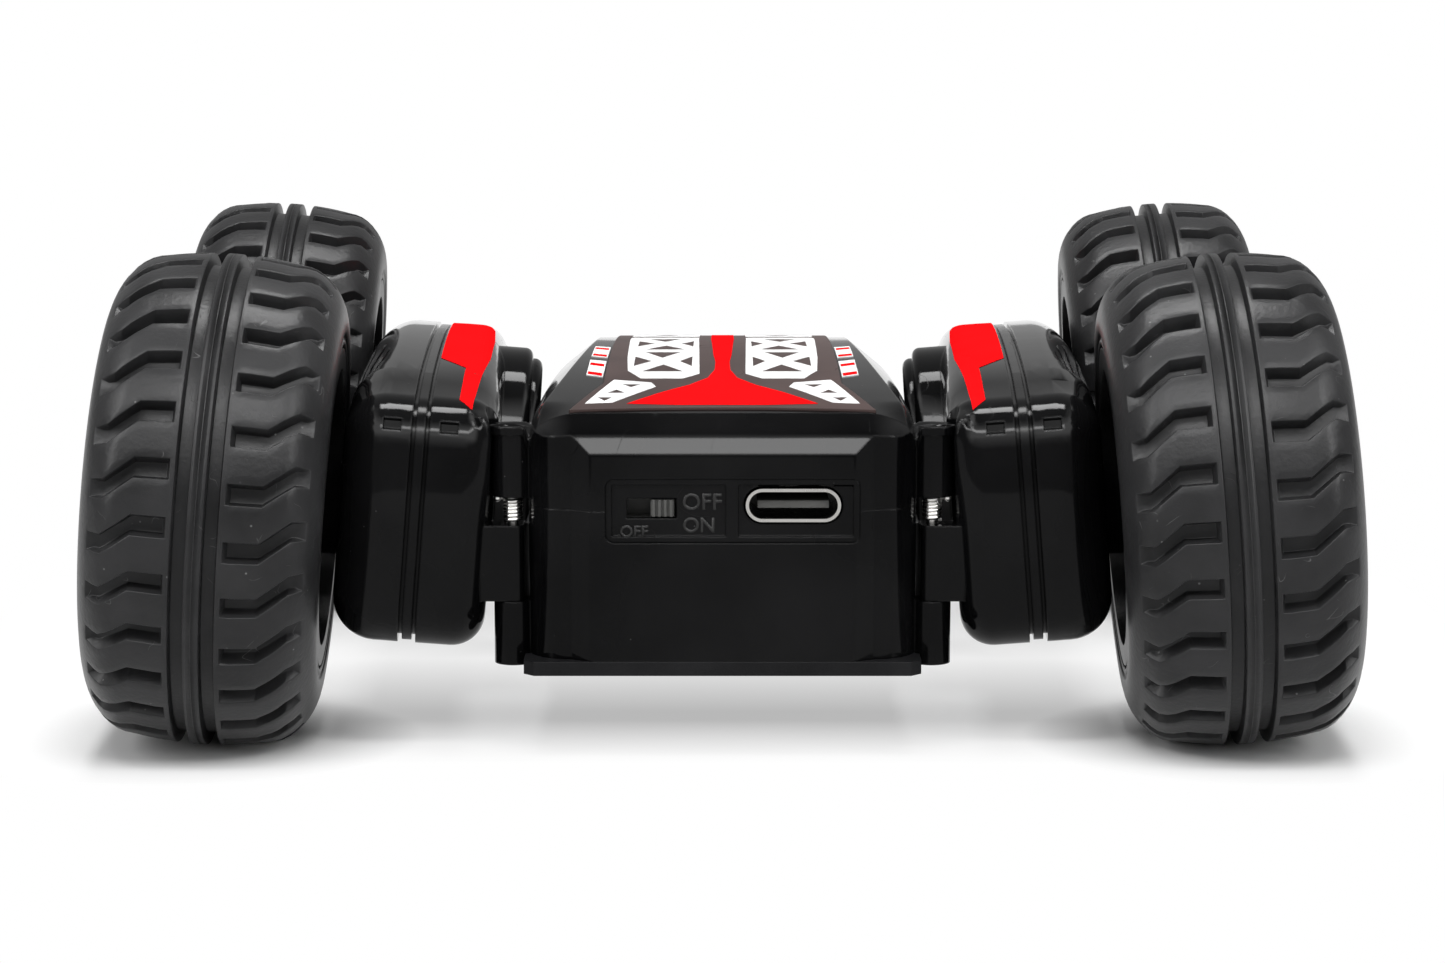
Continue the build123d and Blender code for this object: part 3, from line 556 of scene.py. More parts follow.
# ---- Pods ---------------------------------------------------------------------------------------
class PodSettings(PropertyGroup):
    crown: FloatProperty(
        name="Crown", description="How far a pod's end leans back at its top",
        default=2.6 * MM, unit="LENGTH", precision=5,
    )
    cheek: FloatProperty(
        name="Cheek", description="How far an end curves back outwards",
        default=1.2 * MM, unit="LENGTH", precision=5,
    )
    droop: FloatProperty(
        name="Droop", description="How far a pod's top falls to its ends",
        default=0.7 * MM, unit="LENGTH", precision=5,
    )


SMOOTH_ANGLE = math.radians(24)
POD_PARTS = {"inner_shell": "pod_gloss", "outer_shell": "pod_gloss", "seam_trim": "seam_black"}
POD_SLICES = 11
CROWN_START = 34 * MM
CROWN_FULL = 46 * MM
AXLE_BORE = 2.0 * MM
POST_RECESS = 2.8 * MM
POST_CAP = 1.0 * MM
HELD_FADE = 1.8 * MM


def ease(value, low, high):
    """0 at low and 1 at high, with no corner at either."""
    share = min(1.0, max(0.0, (value - low) / (high - low)))
    return share * share * (3 - 2 * share)


def copy_of(node):
    """A merged copy of a CAD node's mesh."""
    mesh = bmesh.new()
    mesh.from_mesh(frame["nodes"][node].data)
    bmesh.ops.remove_doubles(mesh, verts=mesh.verts[:], dist=0.0005 * MM)
    return mesh


def divide_ends(mesh, start, axis, low, high, count):
    """Cuts a moulding across an axis, beyond a distance along y from its middle."""
    normal = Vector((axis == 0, axis == 1, axis == 2))
    for index in range(count):
        ends = [face for face in mesh.faces if max(abs(vert.co.y) for vert in face.verts) > start]
        cut = dict.fromkeys(ends)
        for face in ends:
            cut.update(dict.fromkeys(face.edges))
            cut.update(dict.fromkeys(face.verts))
        place = normal * (low + (index + 0.5) * (high - low) / count)
        bmesh.ops.bisect_plane(mesh, geom=list(cut), plane_co=place, plane_no=normal)


def shade_by_angle(mesh, sharpest):
    """Shades a moulding smooth, but for the edges that turn by more than an angle."""
    for face in mesh.faces:
        face.smooth = True
    for edge in mesh.edges:
        edge.smooth = edge.is_manifold and edge.calc_face_angle() < sharpest


def held_places(side, inverse):
    """The axles' bores and the swing post's recess in the pod's own axes, which keep their shape."""
    turned = inverse.to_3x3()
    pin_top = Vector(joints[f"{side}_pod_swing"]["pos_m"])
    pin_top.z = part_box("hinge_pins")[1][2]
    places = [(pin_top, joints[f"{side}_pod_swing"], POST_RECESS, (inverse @ pin_top).z + POST_CAP)]
    for end in ENDS:
        spin = joints[f"{end}_{side}_wheel_spin"]
        places.append((Vector(spin["pos_m"]), spin, AXLE_BORE, math.inf))
    held = []
    for place, joint, radius, ceiling in places:
        axis = (turned @ Vector(joint["axis"])).normalized()
        held.append((inverse @ place, axis, radius, ceiling))
    return held


def crown_ends(mesh, settings, seam, outer, top, held):
    """Leans the top and the outer side of both ends back, in the pod's own axes.

    The held places don't move: up to their radius from their axis, and below their ceiling.
    """
    divide_ends(mesh, CROWN_START, 2, 0, top, POD_SLICES)
    divide_ends(mesh, CROWN_START, 0, seam, outer, POD_SLICES)
    for vert in mesh.verts:
        share = ease(abs(vert.co.y), CROWN_START, CROWN_FULL)
        for point, axis, radius, ceiling in held:
            aside = ease((vert.co - point).cross(axis).length, radius, radius + HELD_FADE)
            share *= max(aside, ease(vert.co.z, ceiling, ceiling + HELD_FADE))
        height = max(0.0, vert.co.z / top)
        across = min(1.0, max(0.0, (vert.co.x - seam) / (outer - seam)))
        lean = settings.crown * height**2.5 + settings.cheek * across**3
        vert.co.y -= math.copysign(share * lean, vert.co.y)
        vert.co.z -= share * settings.droop * height**2


class CAR_OT_pods(Operator):
    """Crown the ends of the pods"""

    bl_idname = "car.pods"
    bl_label = "Pods"

    def execute(self, context):
        settings = context.scene.car_pods
        for side in SIDES:
            place = pod_place(side)
            meshes = {part: copy_of(f"pod_{part}_{side}") for part in POD_PARTS}
            for mesh in meshes.values():
                bmesh.ops.transform(mesh, matrix=place.inverted(), verts=mesh.verts[:])
            shell = meshes["outer_shell"].verts
            seam = min(vert.co.x for vert in shell)
            outer = max(vert.co.x for vert in shell)
            top = max(vert.co.z for vert in shell)
            held = held_places(side, place.inverted())
            for part, slot in POD_PARTS.items():
                mesh = meshes[part]
                crown_ends(mesh, settings, seam, outer, top, held)
                bmesh.ops.transform(mesh, matrix=place, verts=mesh.verts[:])
                shade_by_angle(mesh, SMOOTH_ANGLE)
                piece = add_piece(f"crowned_{part}_{side}", mesh, finishes[slot], f"{side}_pod")
                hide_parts(f"pod_{part}_{side}")
        return {"FINISHED"}


class BodySettings(PropertyGroup):
    corner: FloatProperty(
        name="Corner", description="How far the body's top corners fall",
        default=3.0 * MM, unit="LENGTH", precision=5,
    )


CORNER_START = 42.5 * MM
CORNER_FULL = 49.4 * MM
CORNER_INSIDE = 13.2 * MM
CORNER_OUTSIDE = 18.5 * MM
CORNER_SLICES_ACROSS = 8
CORNER_SLICES_ALONG = 10
STOP_SIZE = Vector((0.72, 5.6, 9.0)) * MM
STOP_PLACE = Vector((18.64, -40.8, 18.2)) * MM  # the right one's middle
STOP_EDGE = 0.2 * MM


class CAR_OT_body(Operator):
    """Round the body's top corners and fit the pods' bump stops"""

    bl_idname = "car.body"
    bl_label = "Body"

    def execute(self, context):
        settings = context.scene.car_body
        low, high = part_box("top_shell")
        mesh = copy_of("top_shell")
        for flip in SIDES.values():
            inside, outside = flip * CORNER_INSIDE, flip * CORNER_OUTSIDE
            divide_ends(mesh, CORNER_START, 0, inside, outside, CORNER_SLICES_ACROSS)
            divide_ends(mesh, CORNER_START, 1, flip * CORNER_START, flip * high[1], CORNER_SLICES_ALONG)
        for vert in mesh.verts:
            near_end = ease(abs(vert.co.y), CORNER_START, CORNER_FULL)
            across = (abs(vert.co.x) - CORNER_INSIDE) / (CORNER_OUTSIDE - CORNER_INSIDE)
            across = min(1.0, max(0.0, across))
            height = max(0.0, (vert.co.z - low[2]) / (high[2] - low[2]))
            if abs(vert.co.x) < CORNER_OUTSIDE + 0.1 * MM:
                vert.co.z -= settings.corner * near_end * across**2 * height
        shade_by_angle(mesh, SMOOTH_ANGLE)
        piece = add_piece("rounded_top_shell", mesh, finishes["body_gloss"], "chassis")
        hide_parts("top_shell")
        rubber = finish_of("rubber", soft_rubber, tuple(context.scene.car_tyres.colour))
        for side, flip in SIDES.items():
            stop = bmesh.new()
            bmesh.ops.create_cube(stop, size=1.0)
            bmesh.ops.scale(stop, vec=STOP_SIZE, verts=stop.verts[:])
            round_over(stop, math.radians(60), STOP_EDGE, 4)
            place = Vector((flip * STOP_PLACE.x, STOP_PLACE.y, STOP_PLACE.z))
            bmesh.ops.translate(stop, vec=place, verts=stop.verts[:])
            add_piece(f"bump_stop_{side}", stop, rubber, "chassis")
        return {"FINISHED"}


# ---- Prints on the deck, windows and pods -------------------------------------------------------
class PrintSettings(PropertyGroup):
    red: FloatVectorProperty(
        name="Red", description="Red ink", default=(0.79, 0.006, 0.008), subtype="COLOR", min=0, max=1
    )
    white: FloatVectorProperty(
        name="White", description="White ink", default=(0.80, 0.80, 0.80), subtype="COLOR", min=0, max=1
    )
    brown: FloatVectorProperty(
        name="Brown", description="Ground of the deck panel",
        default=(0.045, 0.030, 0.028), subtype="COLOR", min=0, max=1,
    )
    lift: FloatProperty(
        name="Lift", description="Height of a print above its panel",
        default=0.05 * MM, unit="LENGTH", precision=5,
    )
    middle: FloatProperty(
        name="Middle", description="Where the front prints mirror",
        default=6.2 * MM, unit="LENGTH", precision=5,
    )


# Outlines and openings of the prints, seen from above, in millimetres
LADDER = (
    (2.6, 4.8), (9.9, 4.8), (10.1, 3.0), (9.8, -19.0), (9.5, -28.2), (8.1, -32.6), (3.9, -32.6),
    (2.3, -30.0)
)
LADDER_MIDDLES = (-21.9, -5.4)
FLAG = ((10.7, -33.4), (7.0, -34.9), (6.5, -36.9), (10.5, -44.1), (13.1, -44.5))
FLAG_CUTS = ((8.9, -37.2, 1.9, 1.5, "N"), (10.3, -38.3, 1.8, 1.6, "S"), (11.3, -43.4, 1.5, 1.6, "N"))
SPINE = (
    (0.5, 44.0), (1.2, 30.0), (1.25, 2.0), (0.95, -16.8), (0.72, -22.3), (0.78, -27.6), (1.45, -32.2),
    (3.2, -35.9), (6.1, -39.8), (9.1, -44.5), (4.5, -45.0)
)

# Half of a pod's stripe, along its outer edge, and the way back, in the pod's own axes
STRIPE = ((-19.9, 0), (-19.9, -24.9), (-22.9, -31.0), (-22.7, -44.6), (-24.0, -46.4))
STRIPE_BACK = ((-25.2, -20.0), (-25.4, 0), (-25.2, 20.0))
STRIPE_SPAN = (-26 * MM, -19 * MM)
POD_SPAN = (-50 * MM, 50 * MM)

# The slanting bars on each side window: their places along it, then their width in millimetres
BAR_SHARES = (0.06, 0.30, 0.60, 0.86)
BAR_EDGE = 0.12
BAR_WIDTH = 1.45
DROP = 60 * MM


def surface_of(holder):
    """An object's surface, for dropping prints on."""
    data = holder.data
    corners = [vertex.co.copy() for vertex in data.vertices]
    return BVHTree.FromPolygons(corners, [tuple(face.vertices) for face in data.polygons])


def lay_on(mesh, surface, down, lift):
    """Drops a flat sheet on a surface, leaves it a lift above, and gives it thickness."""
    for vert in mesh.verts:
        start = vert.co - down * DROP
        place = surface.ray_cast(start, down)[0] or surface.find_nearest(vert.co)[0]
        vert.co = place - down * lift
    grown = bmesh.ops.extrude_face_region(mesh, geom=mesh.faces[:], use_keep_orig=True)
    under = [part for part in grown["geom"] if isinstance(part, bmesh.types.BMVert)]
    bmesh.ops.translate(mesh, vec=down * 0.8 * lift, verts=under)
    bmesh.ops.recalc_face_normals(mesh, faces=mesh.faces[:])


def mirrored(points, flip_x=1, flip_y=1, middle_y=0.0):
    """The points, flipped across x = 0 where flip_x is -1 and across y = middle_y where flip_y is -1."""
    return [(x * flip_x, middle_y + (y - middle_y) * flip_y) for x, y in points]


def opening(x, y, width, length, way):
    """A triangular opening with its point at (x, y), widening towards way."""
    half = width / 2
    if way in "NS":
        sign = 1 if way == "N" else -1
        return [(x, y), (x + half, y + sign * length), (x - half, y + sign * length)]
    sign = 1 if way == "E" else -1
    return [(x, y), (x + sign * length, y - half), (x + sign * length, y + half)]


def printed_sheet(name, outline, holes, ink, surface, lift, step=1.2):
    """A printed shape, given from above in millimetres and laid on the body."""
    scaled = [[(x * MM, y * MM) for x, y in loop] for loop in (outline, *holes)]
    mesh = outline_sheet(scaled[0], scaled[1:])
    low = min(y for x, y in scaled[0])
    high = max(y for x, y in scaled[0])
    slice_across(mesh, 1, low, high, step * MM)
    lay_on(mesh, surface, Vector((0, 0, -1)), lift)
    return add_piece(name, mesh, ink, "chassis")


class CAR_OT_deck_print(Operator):
    """Lay the printed art on the deck"""

    bl_idname = "car.deck_print"
    bl_label = "Deck print"

    def execute(self, context):
        settings = context.scene.car_prints
        red = finish_of("red_ink", printed_ink, tuple(settings.red), INK_ROUGHNESS)
        white = finish_of("white_ink", printed_ink, tuple(settings.white), INK_ROUGHNESS)
        surface = surface_of(frame["nodes"]["deck_panel"])
        cells = []
        for middle in LADDER_MIDDLES:
            cells += [
                opening(6.2, middle + 2.4, 3.8, 4.9, "N"),
                opening(6.0, middle - 2.3, 4.2, 4.5, "S"),
                opening(7.2, middle, 7.0, 1.8, "E"),
                opening(4.4, middle, 7.2, 1.3, "W"),
            ]
        middle = settings.middle / MM
        for side, flip in SIDES.items():
            for end, way in ENDS.items():
                place = (flip, -way, middle)
                outline = mirrored(LADDER, *place)
                holes = [mirrored(cell, *place) for cell in cells]
                name = f"ladder_print_{end}_{side}"
                printed_sheet(name, outline, holes, white, surface, settings.lift)
            name = f"flag_print_{side}"
            outline = mirrored(FLAG, flip)
            holes = [mirrored(opening(*cut), flip) for cut in FLAG_CUTS]
            printed_sheet(name, outline, holes, white, surface, settings.lift)
        outline = [*SPINE, *mirrored(SPINE[::-1], -1)]
        printed_sheet("spine_print", outline, (), red, surface, settings.lift)
        return {"FINISHED"}


class CAR_OT_side_prints(Operator):
    """Lay the stripes on the pods and the bars on the windows"""

    bl_idname = "car.side_prints"
    bl_label = "Side prints"

    def execute(self, context):
        settings = context.scene.car_prints
        red = finish_of("red_ink", printed_ink, tuple(settings.red), INK_ROUGHNESS)
        stripe = [*STRIPE, *STRIPE_BACK, *mirrored(STRIPE[:0:-1], 1, -1)]
        for side in SIDES:
            place = pod_place(side)
            mesh = outline_sheet([(x * MM, y * MM) for x, y in stripe])
            slice_across(mesh, 0, *STRIPE_SPAN, 0.4 * MM)
            slice_across(mesh, 1, *POD_SPAN, 1.2 * MM)
            bmesh.ops.transform(mesh, matrix=place, verts=mesh.verts[:])
            shell = surface_of(bpy.data.objects[f"crowned_inner_shell_{side}"])
            lay_on(mesh, shell, -place.col[2].xyz, settings.lift)
            add_piece(f"pod_stripe_{side}", mesh, red, f"{side}_pod")
        low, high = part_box("side_windows")
        panes = surface_of(frame["nodes"]["side_windows"])
        far = high[0] / MM - BAR_EDGE
        near = far - BAR_WIDTH
        rear = low[1] / MM
        length = (high[1] - low[1]) / MM
        for side, flip in SIDES.items():
            for index, share in enumerate(BAR_SHARES):
                middle = rear + share * length
                bar = [(near, middle - 1.0), (far, middle + 0.2), (far, middle + 1.6), (near, middle + 0.4)]
                name = f"window_bar_{index + 1}_{side}"
                printed_sheet(name, mirrored(bar, flip), (), red, panes, settings.lift, 0.6)
        return {"FINISHED"}


# ---- Lettering and springs ----------------------------------------------------------------------
class DetailSettings(PropertyGroup):
    relief: FloatProperty(
        name="Relief", description="Height of the letters",
        default=0.12 * MM, unit="LENGTH", precision=5,
    )
    turns: IntProperty(name="Spring turns", description="Coils in each hinge spring", default=6, min=2)
    wire: FloatProperty(
        name="Spring wire", description="Diameter", default=0.4 * MM, unit="LENGTH", precision=5
    )


# The words beside the switch: name, word, middle across, middle height and height of the capitals, in mm
LABELS = (
    ("off_right", "OFF", -1.9, 25.7, 1.55),
    ("on_right", "ON", -2.2, 23.5, 1.4),
    ("off_left", "OFF", -8.3, 22.9, 1.1),
)
CAPITALS = 0.72  # height of a capital in a text of size 1
LETTER_EDGE = 0.04 * MM
BEHIND_THE_CAR = -0.1
SPRING_RADIUS = 0.78 * MM
STEPS_A_TURN = 20
END_BALL = 0.42 * MM
END_BALL_INSET = 0.4 * MM


def mesh_of(data):
    """The mesh of a curve or text."""
    holder = bpy.data.objects.new("pattern", data)
    bpy.context.scene.collection.objects.link(holder)
    solid = bpy.data.meshes.new_from_object(holder.evaluated_get(bpy.context.evaluated_depsgraph_get()))
    bpy.data.objects.remove(holder)
    bpy.data.curves.remove(data)
    mesh = bmesh.new()
    mesh.from_mesh(solid)
    bpy.data.meshes.remove(solid)
    return mesh


class CAR_OT_letters(Operator):
    """Raise the letters beside the switch"""

    bl_idname = "car.letters"
    bl_label = "Letters"

    def execute(self, context):
        relief = context.scene.car_details.relief
        plastic = finish_of("letter_plastic", gloss_plastic, (0.008, 0.008, 0.008), 0.14, 0.3)
        surface = surface_of(frame["nodes"]["port_panel"])
        for name, word, x, z, height in LABELS:
            text = bpy.data.curves.new(name, "FONT")
            text.body = word
            text.align_x = "CENTER"
            text.align_y = "CENTER"
            text.size = height * MM / CAPITALS
            text.extrude = relief
            text.bevel_depth = LETTER_EDGE
            mesh = mesh_of(text)
            place = surface.ray_cast(Vector((x * MM, BEHIND_THE_CAR, z * MM)), Vector((0, 1, 0)))[0]
            matrix = Matrix.Translation((x * MM, place.y, z * MM)) @ Matrix.Rotation(math.pi / 2, 4, "X")
            bmesh.ops.transform(mesh, matrix=matrix, verts=mesh.verts[:])
            add_piece(f"letters_{name}", mesh, plastic, "chassis")
        return {"FINISHED"}


class CAR_OT_springs(Operator):
    """Wind the hinge springs"""

    bl_idname = "car.springs"
    bl_label = "Springs"

    def execute(self, context):
        settings = context.scene.car_details
        steel = finish_of("spring_steel", bright_metal, (0.74, 0.73, 0.71), 0.14)
        low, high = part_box("hinge_springs")
        both = bmesh.new()
        for side, flip in SIDES.items():
            axis = Vector(joints[f"{side}_pod_swing"]["pos_m"])
            start = low[2] + settings.wire / 2
            rise = high[2] - low[2] - settings.wire
            count = settings.turns * STEPS_A_TURN
            points = []
            for index in range(count + 1):
                angle = flip * 2 * math.pi * settings.turns * index / count
                across = Vector((flip * math.cos(angle), math.sin(angle), 0)) * SPRING_RADIUS
                points.append(Vector((axis.x, axis.y, start + rise * index / count)) + across)
            points.append(Vector((flip * (high[0] - END_BALL_INSET), axis.y, start + rise)))
            wire = bpy.data.curves.new("wire", "CURVE")
            wire.dimensions = "3D"
            wire.bevel_depth = settings.wire / 2
            wire.bevel_resolution = 3
            wire.use_fill_caps = True
            path = wire.splines.new("POLY")
            path.points.add(len(points) - 1)
            for spot, point in zip(path.points, points):
                spot.co = (*point, 1)
            coil = mesh_of(wire)
            end = Matrix.Translation(points[-1])
            bmesh.ops.create_uvsphere(coil, u_segments=20, v_segments=12, radius=END_BALL, matrix=end)
            spare = bpy.data.meshes.new("spare")
            coil.to_mesh(spare)
            both.from_mesh(spare)
            bpy.data.meshes.remove(spare)
            coil.free()
        for face in both.faces:
            face.smooth = True
        piece = add_piece("hinge_coils", both, steel, "chassis")
        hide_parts("hinge_springs")
        return {"FINISHED"}


# ---- Finishes of the moulded and metal parts ----------------------------------------------------
class ShellSettings(PropertyGroup):
    black: FloatVectorProperty(
        name="Shell black", description="Polished shells",
        default=(0.0015, 0.0015, 0.0017), subtype="COLOR", min=0, max=1,
    )
    satin: FloatVectorProperty(
        name="Satin black", description="Grained mouldings",
        default=(0.004, 0.004, 0.0045), subtype="COLOR", min=0, max=1,
    )


class CAR_OT_finishes(Operator):
    """Give every moulded and metal part its finish"""

    bl_idname = "car.finishes"
    bl_label = "Finishes"

    def execute(self, context):
        black = tuple(context.scene.car_shells.black)
        satin = tuple(context.scene.car_shells.satin)
        prints = context.scene.car_prints
        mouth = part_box("usb_port_shell")[0][1]
        slots = {
            "body_gloss": finish_of("body_gloss", gloss_plastic, black, 0.05, 0.09),
            "pod_gloss": finish_of("pod_gloss", gloss_plastic, black, 0.04, 0.11),
            "base_plastic": finish_of("base_satin", satin_plastic, satin, 0.3),
            "seam_black": finish_of("seam_black", gloss_plastic, black, 0.14, 0.10),
            "deck_print": finish_of("deck_ground", gloss_plastic, tuple(prints.brown), 0.34, 0.06),
            "window_print": finish_of("white_ink", printed_ink, tuple(prints.white), INK_ROUGHNESS),
            "panel_plastic": finish_of("panel_gloss", gloss_plastic, black, 0.12, 0.10),
            "rubber": finish_of("rubber", soft_rubber, tuple(context.scene.car_tyres.colour)),
            "rim_black": finish_of("rim_black", satin_plastic, satin, 0.22),
            "steel": finish_of("steel", bright_metal, (0.62, 0.61, 0.59), 0.2),
            # The port's steel carries painted shade inside the socket, beyond its mouth
            "port_steel": finish_of("port_steel", bright_metal, (0.50, 0.49, 0.47), 0.16, mouth),
            "gear_nylon": finish_of("gear_nylon", satin_plastic, (0.62, 0.60, 0.54), 0.36),
            "brass": finish_of("brass", bright_metal, (0.75, 0.55, 0.22), 0.22),
            "bush_bronze": finish_of("bush_bronze", bright_metal, (0.50, 0.34, 0.16), 0.34),
            "motor_steel": finish_of("motor_steel", bright_metal, (0.50, 0.50, 0.52), 0.26),
            "switch_nylon": finish_of("switch_nylon", satin_plastic, (0.055, 0.055, 0.053), 0.36),
            "board_green": finish_of("board_green", solder_mask, (0.012, 0.09, 0.03)),
            "cell_wrap": finish_of("cell_wrap", satin_plastic, (0.10, 0.13, 0.19), 0.24),
        }
        for part in record["subparts"]:
            node = frame["nodes"][part["node"]]
            for material_slot in node.material_slots:
                material_slot.link = "OBJECT"
                material_slot.material = slots[part["material_slot"]].material
        return {"FINISHED"}


# ---- Studio -------------------------------------------------------------------------------------
class StudioSettings(PropertyGroup):
    eye_distance: FloatProperty(
        name="Distance", description="Camera behind the car's middle", default=0.3369, unit="LENGTH"
    )
    eye_height: FloatProperty(
        name="Height", description="Camera above the floor", default=0.0722, unit="LENGTH"
    )
    eye_pitch: FloatProperty(
        name="Pitch", description="Camera's tilt down", default=0.154, subtype="ANGLE"
    )
    lens: FloatProperty(
        name="Lens", description="Focal length on a 36 mm sensor",
        default=77.1, subtype="DISTANCE_CAMERA",
    )
    light: FloatProperty(name="Light", description="Level of all the lamps", default=1.0, min=0)
    sheen: FloatProperty(
        name="Sheen", description="Level of the background in gloss", default=0.1, min=0
    )
    ring: FloatProperty(
        name="Ring", description="Level of the soft ring overhead in gloss", default=4.5, min=0
    )
    # Painted glow: the floor gives off white light of its own to camera, gloss and transmission rays, faded
    # where its painted shade lies
    glow: FloatProperty(
        name="Glow", description="Light through the floor's paper", default=0.47, min=0, max=1
    )


# Soft boxes: name, place, target, width and height in metres, and watts
LAMPS = (
    ("overhead_box", (0, 0.12, 0.55), (0, 0, 0), 0.30, 0.12, 2.3),
    ("left_box", (-0.45, -0.30, 0.3), (0, 0, 0.02), 0.04, 0.45, 1.3),
    ("right_box", (0.45, -0.30, 0.3), (0, 0, 0.02), 0.04, 0.45, 1.3),
    ("front_box", (0, -0.32, 0.42), (0, -0.05, 0.03), 0.30, 0.06, 1.1),
)

# The ring overhead that gloss shows: where it starts and ends upwards, and towards the far side
RING_START = (0.30, 0.60)
RING_END = (0.97, 0.85)
RING_FAR_SIDE = (0.3, -0.1)
ROOM_LIGHT = 0.25
BACKDROP_LIGHT = 0.75

# The floor's painted shade, in metres, where its glow fades so that the lamps' shadow shows: round each
# wheel's foot, under the car's ends and middle, and outside
FOOT_SQUASH = 0.8
FOOT_SHADE = (0.009, 0.019)
END_SHADE = (0.030, 0.048)
MIDDLE_SHADE = (0.026, -0.012)
SIDE_SHADE = (0.062, 0.085)
FLOOR_SIZE = 3.0
PAPER = ((0.90, 0.90, 0.90), (0.92, 0.92, 0.92))


def soft_box(name, place, target, width, height, power):
    """A rectangular lamp that faces a point."""
    lamp = bpy.data.lights.new(name, "AREA")
    lamp.shape = "RECTANGLE"
    lamp.size = width
    lamp.size_y = height
    lamp.energy = power
    holder = bpy.data.objects.new(name, lamp)
    holder.location = place
    holder.rotation_euler = (Vector(target) - Vector(place)).to_track_quat("-Z", "Y").to_euler()
    bpy.context.scene.collection.objects.link(holder)


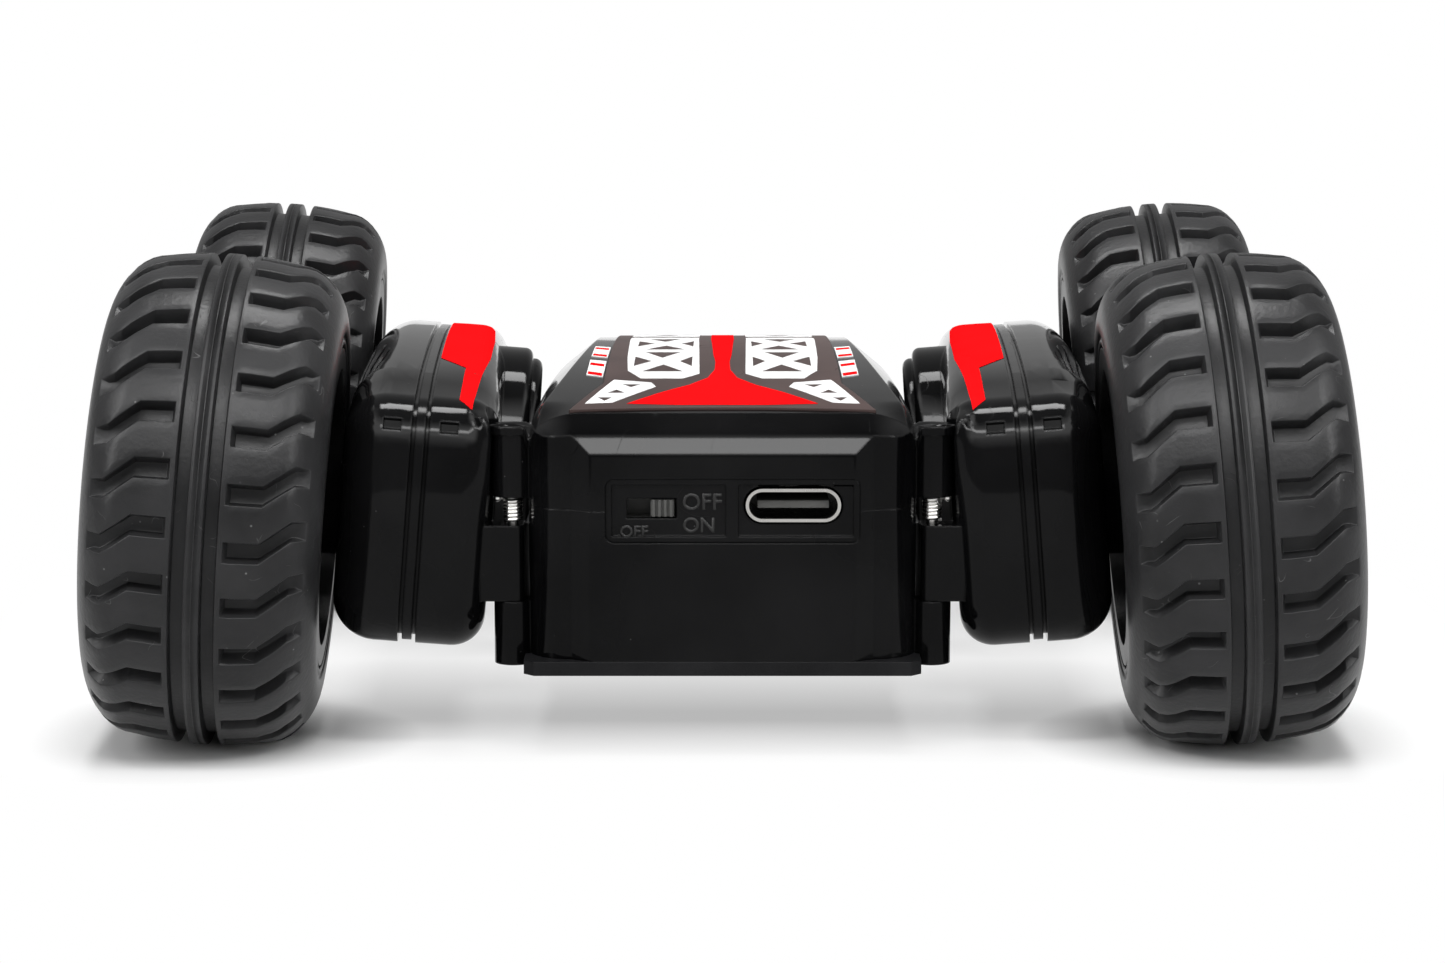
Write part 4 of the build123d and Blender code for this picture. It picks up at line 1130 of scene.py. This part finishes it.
class CAR_OT_studio(Operator):
    """Set up the camera, the lamps and the pale floor"""

    bl_idname = "car.studio"
    bl_label = "Studio"

    def execute(self, context):
        scene = context.scene
        settings = scene.car_studio
        eye = bpy.data.cameras.new("camera")
        eye.lens = settings.lens
        eye.sensor_width = 36
        eye.clip_start = 0.01
        camera = bpy.data.objects.new("camera", eye)
        camera.location = (0, -settings.eye_distance, settings.eye_height)
        camera.rotation_euler = (math.pi / 2 - settings.eye_pitch, 0, 0)
        scene.collection.objects.link(camera)
        scene.camera = camera
        scene.view_settings.view_transform = "Standard"

        for name, place, target, width, height, watts in LAMPS:
            soft_box(name, place, target, width, height, watts * settings.light)

        world = bpy.data.worlds.new("studio_world")
        world.use_nodes = True
        scene.world = world
        room = Nodes(world.node_tree)
        background = room.tree.nodes["Background"]
        toward = room.node("ShaderNodeTexCoord").outputs["Generated"]
        parts = room.node("ShaderNodeSeparateXYZ", None, {"Vector": toward}).outputs
        up = Value(room, parts["Z"])
        near_side = room.ramp(Value(room, parts["Y"]), *RING_FAR_SIDE)
        ring = room.ramp(up, *RING_START) * room.ramp(up, *RING_END) * near_side
        level = room.rays("Is Camera Ray", "Is Transmission Ray") * BACKDROP_LIGHT
        level = level + room.rays("Is Glossy Ray") * (ring * settings.ring + settings.sheen)
        room.feed(background.inputs["Color"], (1.0, 1.0, 1.0))
        room.feed(background.inputs["Strength"], level + ROOM_LIGHT)

        mesh = bmesh.new()
        bmesh.ops.create_grid(mesh, x_segments=2, y_segments=2, size=FLOOR_SIZE)
        sheet = bpy.data.meshes.new("floor")
        mesh.to_mesh(sheet)
        mesh.free()
        floor = bpy.data.objects.new("floor", sheet)
        scene.collection.objects.link(floor)
        pale = Finish("floor_paper", roughness=0.9, specular_ior_level=0.0)
        grain = pale.noise(0.4 * MM, 2.0)
        pale.set("Base Color", pale.blend(grain, *PAPER))
        spot = pale.node("ShaderNodeSeparateXYZ", None, {"Vector": pale.place})
        wheel = Vector(joints["front_right_wheel_spin"]["pos_m"])
        out = abs(Value(pale, spot.outputs["X"]))
        along = abs(Value(pale, spot.outputs["Y"]))
        across = abs(out - wheel.x) * FOOT_SQUASH
        ahead = abs(along - wheel.y)
        near = (across * across + ahead * ahead).root()
        ends = pale.ramp(along, *END_SHADE).larger(pale.ramp(along, *MIDDLE_SHADE))
        open_floor = ends.larger(pale.ramp(out, *SIDE_SHADE))
        # Painted shade: the floor's glow fades near each wheel's foot and in bands under the car, so that
        # the lamps' shadow shows there
        glow_and_painted_shade = pale.ramp(near, *FOOT_SHADE) * (open_floor * (1.0 - settings.glow) + settings.glow)
        share = glow_and_painted_shade * pale.rays("Is Camera Ray", "Is Glossy Ray", "Is Transmission Ray")
        glow = pale.node("ShaderNodeEmission", None, {"Color": (1.0, 1.0, 1.0), "Strength": 1.0})
        shaders = {0: share, 1: pale.shader.outputs[0], 2: glow.outputs[0]}
        mixed = pale.node("ShaderNodeMixShader", None, shaders)
        pale.tree.links.new(mixed.outputs[0], pale.tree.nodes["Material Output"].inputs["Surface"])
        sheet.materials.append(pale.material)
        return {"FINISHED"}


class CAR_PT_sidebar(Panel):
    """Lists the car's settings and operators"""

    bl_idname = "CAR_PT_sidebar"
    bl_label = "Stunt Car"
    bl_space_type = "VIEW_3D"
    bl_region_type = "UI"
    bl_category = "Stunt Car"

    def draw(self, context):
        scene = context.scene
        for name in GROUPS:
            group = getattr(scene, name)
            box = self.layout.box()
            for setting in group.__annotations__:
                box.prop(group, setting)
        for operator in OPERATORS:
            self.layout.operator(operator.bl_idname)


GROUPS = {
    "car_tyres": TyreSettings,
    "car_pods": PodSettings,
    "car_body": BodySettings,
    "car_prints": PrintSettings,
    "car_details": DetailSettings,
    "car_shells": ShellSettings,
    "car_studio": StudioSettings,
}
OPERATORS = (
    CAR_OT_studio,
    CAR_OT_finishes,
    CAR_OT_tyres,
    CAR_OT_pods,
    CAR_OT_body,
    CAR_OT_deck_print,
    CAR_OT_side_prints,
    CAR_OT_letters,
    CAR_OT_springs,
)


def register():
    for group in GROUPS.values():
        bpy.utils.register_class(group)
    for name, group in GROUPS.items():
        setattr(bpy.types.Scene, name, PointerProperty(type=group))
    for operator in OPERATORS:
        bpy.utils.register_class(operator)
    bpy.utils.register_class(CAR_PT_sidebar)


def unregister():
    bpy.utils.unregister_class(CAR_PT_sidebar)
    for operator in reversed(OPERATORS):
        bpy.utils.unregister_class(operator)
    for name in GROUPS:
        delattr(bpy.types.Scene, name)
    for group in GROUPS.values():
        bpy.utils.unregister_class(group)


def main():
    register()
    bpy.ops.car.studio()
    bpy.ops.car.finishes()
    bpy.ops.car.tyres()
    bpy.ops.car.pods()
    bpy.ops.car.body()
    bpy.ops.car.deck_print()
    bpy.ops.car.side_prints()
    bpy.ops.car.letters()
    bpy.ops.car.springs()


if __name__ == "__main__":
    main()
